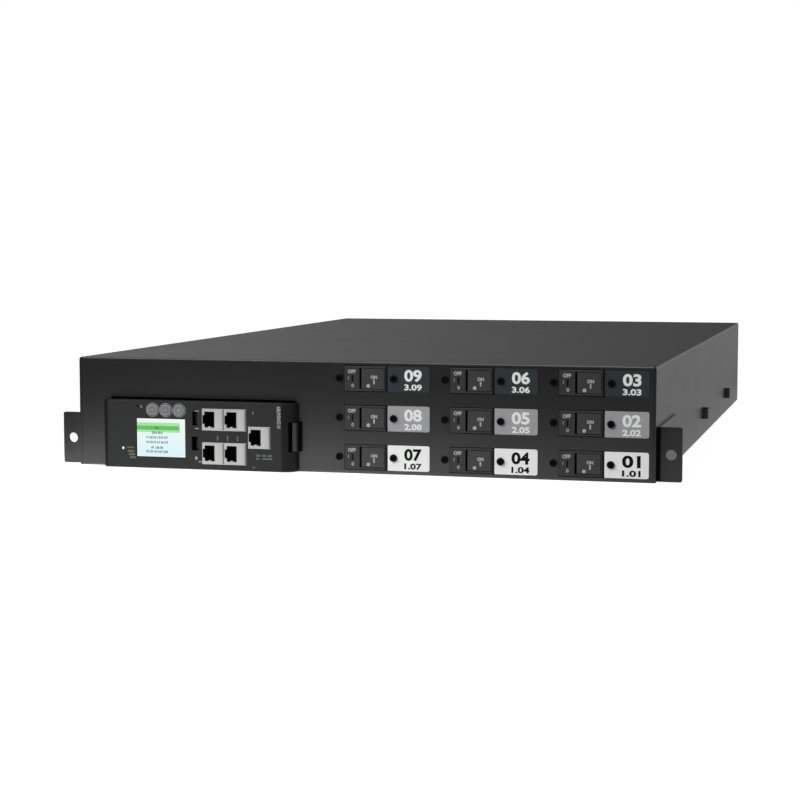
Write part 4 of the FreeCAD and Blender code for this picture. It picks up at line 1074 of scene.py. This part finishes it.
class POWERUNIT_OT_build_stage(bpy.types.Operator):
    """Pale floor, soft lights and the camera"""

    bl_idname = "power_unit.build_stage"
    bl_label = "Build the stage"

    # Lamps: name, place and size in metres, power in watts, and whether only reflections show it
    LAMPS = (("key_lamp", (-1.0, -1.4, 1.1), (1.1, 1.1), 29.0, False),
             ("side_lamp", (1.9, 1.6, 0.9), (1.0, 1.0), 7.0, False),
             ("strip_lamp", (0.0, -0.5, 1.6), (2.4, 0.5), 14.0, True))
    # Bright sides of the room in reflections: direction, where it starts and is full, and its level
    SIDES = (((-0.94, 0.34, 0.0), 0.3, 0.8, 0.39), ((0.85, 0.53, 0.0), 0.4, 0.9, 0.83),
             ((0.0, 0.0, 1.0), 0.1, 0.6, 0.3))
    DIM_ROOM = 0.03                      # level of the rest of the room in reflections
    SOFT_LIGHT = 0.35                    # level of the room for all other light
    FAR_PAPER, NEAR_PAPER = (0.08, 0.08, 0.08), (0.86, 0.86, 0.86)
    PAPER_ROUGHNESS = 0.9
    NEAR_GLOW = 0.72                     # paper's own light to the eye, close to the unit
    # Distance beside the unit: it counts once up to the first place before the front, more from the second on
    BESIDE_START, BESIDE_END, BESIDE_FACTOR = -0.15, -0.03, 6.0
    LEFT_LIGHT_END = -0.1                # across, where the floor's painted pool of light begins to fall to the right
    RIGHT_LIGHT = 0.34                   # level that it falls to at the unit's right end
    SIDE_BLUR, SIDE_LEVEL = 0.05, 0.35   # of the painted glow on the floor that the unit's right side mirrors

    def execute(self, context):
        stage = context.scene.power_unit_stage
        context.scene.view_settings.view_transform = "Standard"
        self.lay_floor(stage)
        self.light_world(context.scene)
        for lamp in self.LAMPS:
            self.hang_lamp(*lamp)
        self.set_camera(context.scene, stage)
        return {"FINISHED"}

    def seen(self, tree, eye, reflection, bounce):
        """Value that the eye, a reflection or pane of glass, and all other light meet."""
        path = tree.nodes.new("ShaderNodeLightPath").outputs
        mirror = maths(tree, "MAXIMUM", path["Is Glossy Ray"], path["Is Transmission Ray"])
        soft = put(tree, "ShaderNodeMix", {0: mirror, 2: bounce, 3: reflection}).outputs[0]
        return put(tree, "ShaderNodeMix", {0: path["Is Camera Ray"], 2: soft, 3: eye}).outputs[0]

    def lay_floor(self, stage):
        """Paper floor that shows as white, keeps the unit's shadow and fades into the room away from it."""
        mesh = bmesh.new()
        bmesh.ops.create_grid(mesh, x_segments=1, y_segments=1, size=stage.floor_size / 2)
        material, tree, shader = new_finish("floor_paper", gloss=0.0)
        # Painted pool of light near the unit: a paler colour and a glow in reflections, falling off to the
        # right
        painted_pool = ramp(tree, self.off_footprint(tree), stage.pool_size / 4, stage.pool_size, 1.0, 0.0,
                    smooth=True)
        edge = CAD_BOX[1].x
        from_left = ramp(tree, along(tree, 0), self.LEFT_LIGHT_END, edge, 1.0, self.RIGHT_LIGHT)
        near = maths(tree, "MULTIPLY", painted_pool, from_left)
        # Painted glow strip beside the unit's right side, which only reflections show
        beside = ramp(tree, along(tree, 0), edge - self.SIDE_BLUR, edge + self.SIDE_BLUR, 0.0,
                      self.SIDE_LEVEL, smooth=True)
        mirrored = maths(tree, "MAXIMUM", near, beside)
        tree.links.new(mixed(tree, near, self.FAR_PAPER, self.NEAR_PAPER), shader.inputs["Base Color"])
        shader.inputs["Roughness"].default_value = self.PAPER_ROUGHNESS
        shader.inputs["Emission Color"].default_value = WHITE
        glow = self.seen(tree, ranged(tree, near, 1.0, self.NEAR_GLOW), mirrored, 0.0)
        tree.links.new(glow, shader.inputs["Emission Strength"])
        floor = placed("floor", closed("floor", mesh, material))

    def off_footprint(self, tree):
        """Distance of a place on the floor from the unit's footprint, counted several times beside it."""
        half = Vector((CAD_BOX[1].x, CAD_BOX[1].y, 0.0))
        beside = ramp(tree, along(tree, 1), self.BESIDE_START - half.y, self.BESIDE_END - half.y, 1.0,
                      self.BESIDE_FACTOR)
        squeeze = put(tree, "ShaderNodeCombineXYZ", {0: beside, 1: 1.0, 2: 1.0}).outputs[0]
        place = put(tree, "ShaderNodeVectorMath", {0: object_place(tree)}, operation="ABSOLUTE").outputs[0]
        for operation, other in (("SUBTRACT", half), ("MAXIMUM", Vector()), ("MULTIPLY", squeeze)):
            place = put(tree, "ShaderNodeVectorMath", {0: place, 1: other}, operation=operation).outputs[0]
        return put(tree, "ShaderNodeVectorMath", {0: place}, operation="LENGTH").outputs["Value"]

    def light_world(self, scene):
        """White to the eye, bright behind the unit and dim before it in reflections, else soft and even."""
        world = bpy.data.worlds.new("studio")
        world.use_nodes = True
        tree = world.node_tree
        ground = tree.nodes["Background"]
        way = tree.nodes.new("ShaderNodeTexCoord").outputs["Generated"]
        room = 0.0
        for middle, start, full, level in self.SIDES:
            turned = put(tree, "ShaderNodeVectorMath", {0: way, 1: middle}, operation="DOT_PRODUCT")
            side = ramp(tree, turned.outputs["Value"], start, full, 0.0, level, smooth=True)
            room = maths(tree, "MAXIMUM", room, side)
        ground.inputs["Color"].default_value = WHITE
        strength = self.seen(tree, 1.0, ranged(tree, room, self.DIM_ROOM, 1.0), self.SOFT_LIGHT)
        tree.links.new(strength, ground.inputs["Strength"])
        scene.world = world

    def hang_lamp(self, name, place, size, power, mirrored):
        """Soft light that looks at the unit's middle, or, mirrored, a card that only reflections show."""
        lamp = bpy.data.lights.new(name, "AREA")
        lamp.shape = "RECTANGLE"
        lamp.size, lamp.size_y = size
        lamp.energy = power
        holder = placed(name, lamp)
        holder.visible_glossy, holder.visible_diffuse = mirrored, not mirrored
        holder.location = place
        holder.rotation_euler = (-Vector(place)).to_track_quat("-Z", "Y").to_euler()

    def set_camera(self, scene, stage):
        """Camera at the photograph's angle."""
        lens = bpy.data.cameras.new("camera")
        lens.lens = stage.camera_lens
        lens.sensor_width = 36.0
        camera = placed("camera", lens)
        camera.location = stage.camera_place
        camera.rotation_euler = (math.radians(90) - stage.camera_tilt, 0.0, stage.camera_yaw)
        scene.camera = camera


class POWERUNIT_PT_pieces(bpy.types.Panel):
    """Lists the unit's pieces, sizes and colours"""

    bl_idname = "POWERUNIT_PT_pieces"
    bl_label = "Power unit"
    bl_space_type = "VIEW_3D"
    bl_region_type = "UI"
    bl_category = "Power unit"

    def draw(self, context):
        for operator in OPERATORS:
            self.layout.operator(operator.bl_idname)
        for name in GROUPS:
            box = self.layout.box()
            settings = getattr(context.scene, name)
            for key in settings.__annotations__:
                box.prop(settings, key)


OPERATORS = (
    POWERUNIT_OT_paint_case,
    POWERUNIT_OT_seat_screws,
    POWERUNIT_OT_finish_breakers,
    POWERUNIT_OT_print_labels,
    POWERUNIT_OT_finish_module,
    POWERUNIT_OT_light_display,
    POWERUNIT_OT_fit_sockets,
    POWERUNIT_OT_fit_outlets,
    POWERUNIT_OT_finish_inside,
    POWERUNIT_OT_build_stage,
)
GROUPS = {
    "power_unit_colours": PowerUnitColours,
    "power_unit_sizes": PowerUnitSizes,
    "power_unit_stage": PowerUnitStage,
}


def register():
    """Register the settings, the operators and the panel."""
    for name, group in GROUPS.items():
        bpy.utils.register_class(group)
        setattr(bpy.types.Scene, name, PointerProperty(type=group))
    for kind in (*OPERATORS, POWERUNIT_PT_pieces):
        bpy.utils.register_class(kind)


def unregister():
    """Take everything out again, in the opposite order."""
    for kind in reversed((*OPERATORS, POWERUNIT_PT_pieces)):
        bpy.utils.unregister_class(kind)
    for name, group in reversed(GROUPS.items()):
        delattr(bpy.types.Scene, name)
        bpy.utils.unregister_class(group)


def main():
    """Build every piece in order."""
    register()
    for operator in OPERATORS:
        family, name = operator.bl_idname.split(".")
        getattr(getattr(bpy.ops, family), name)()


if __name__ == "__main__":
    main()
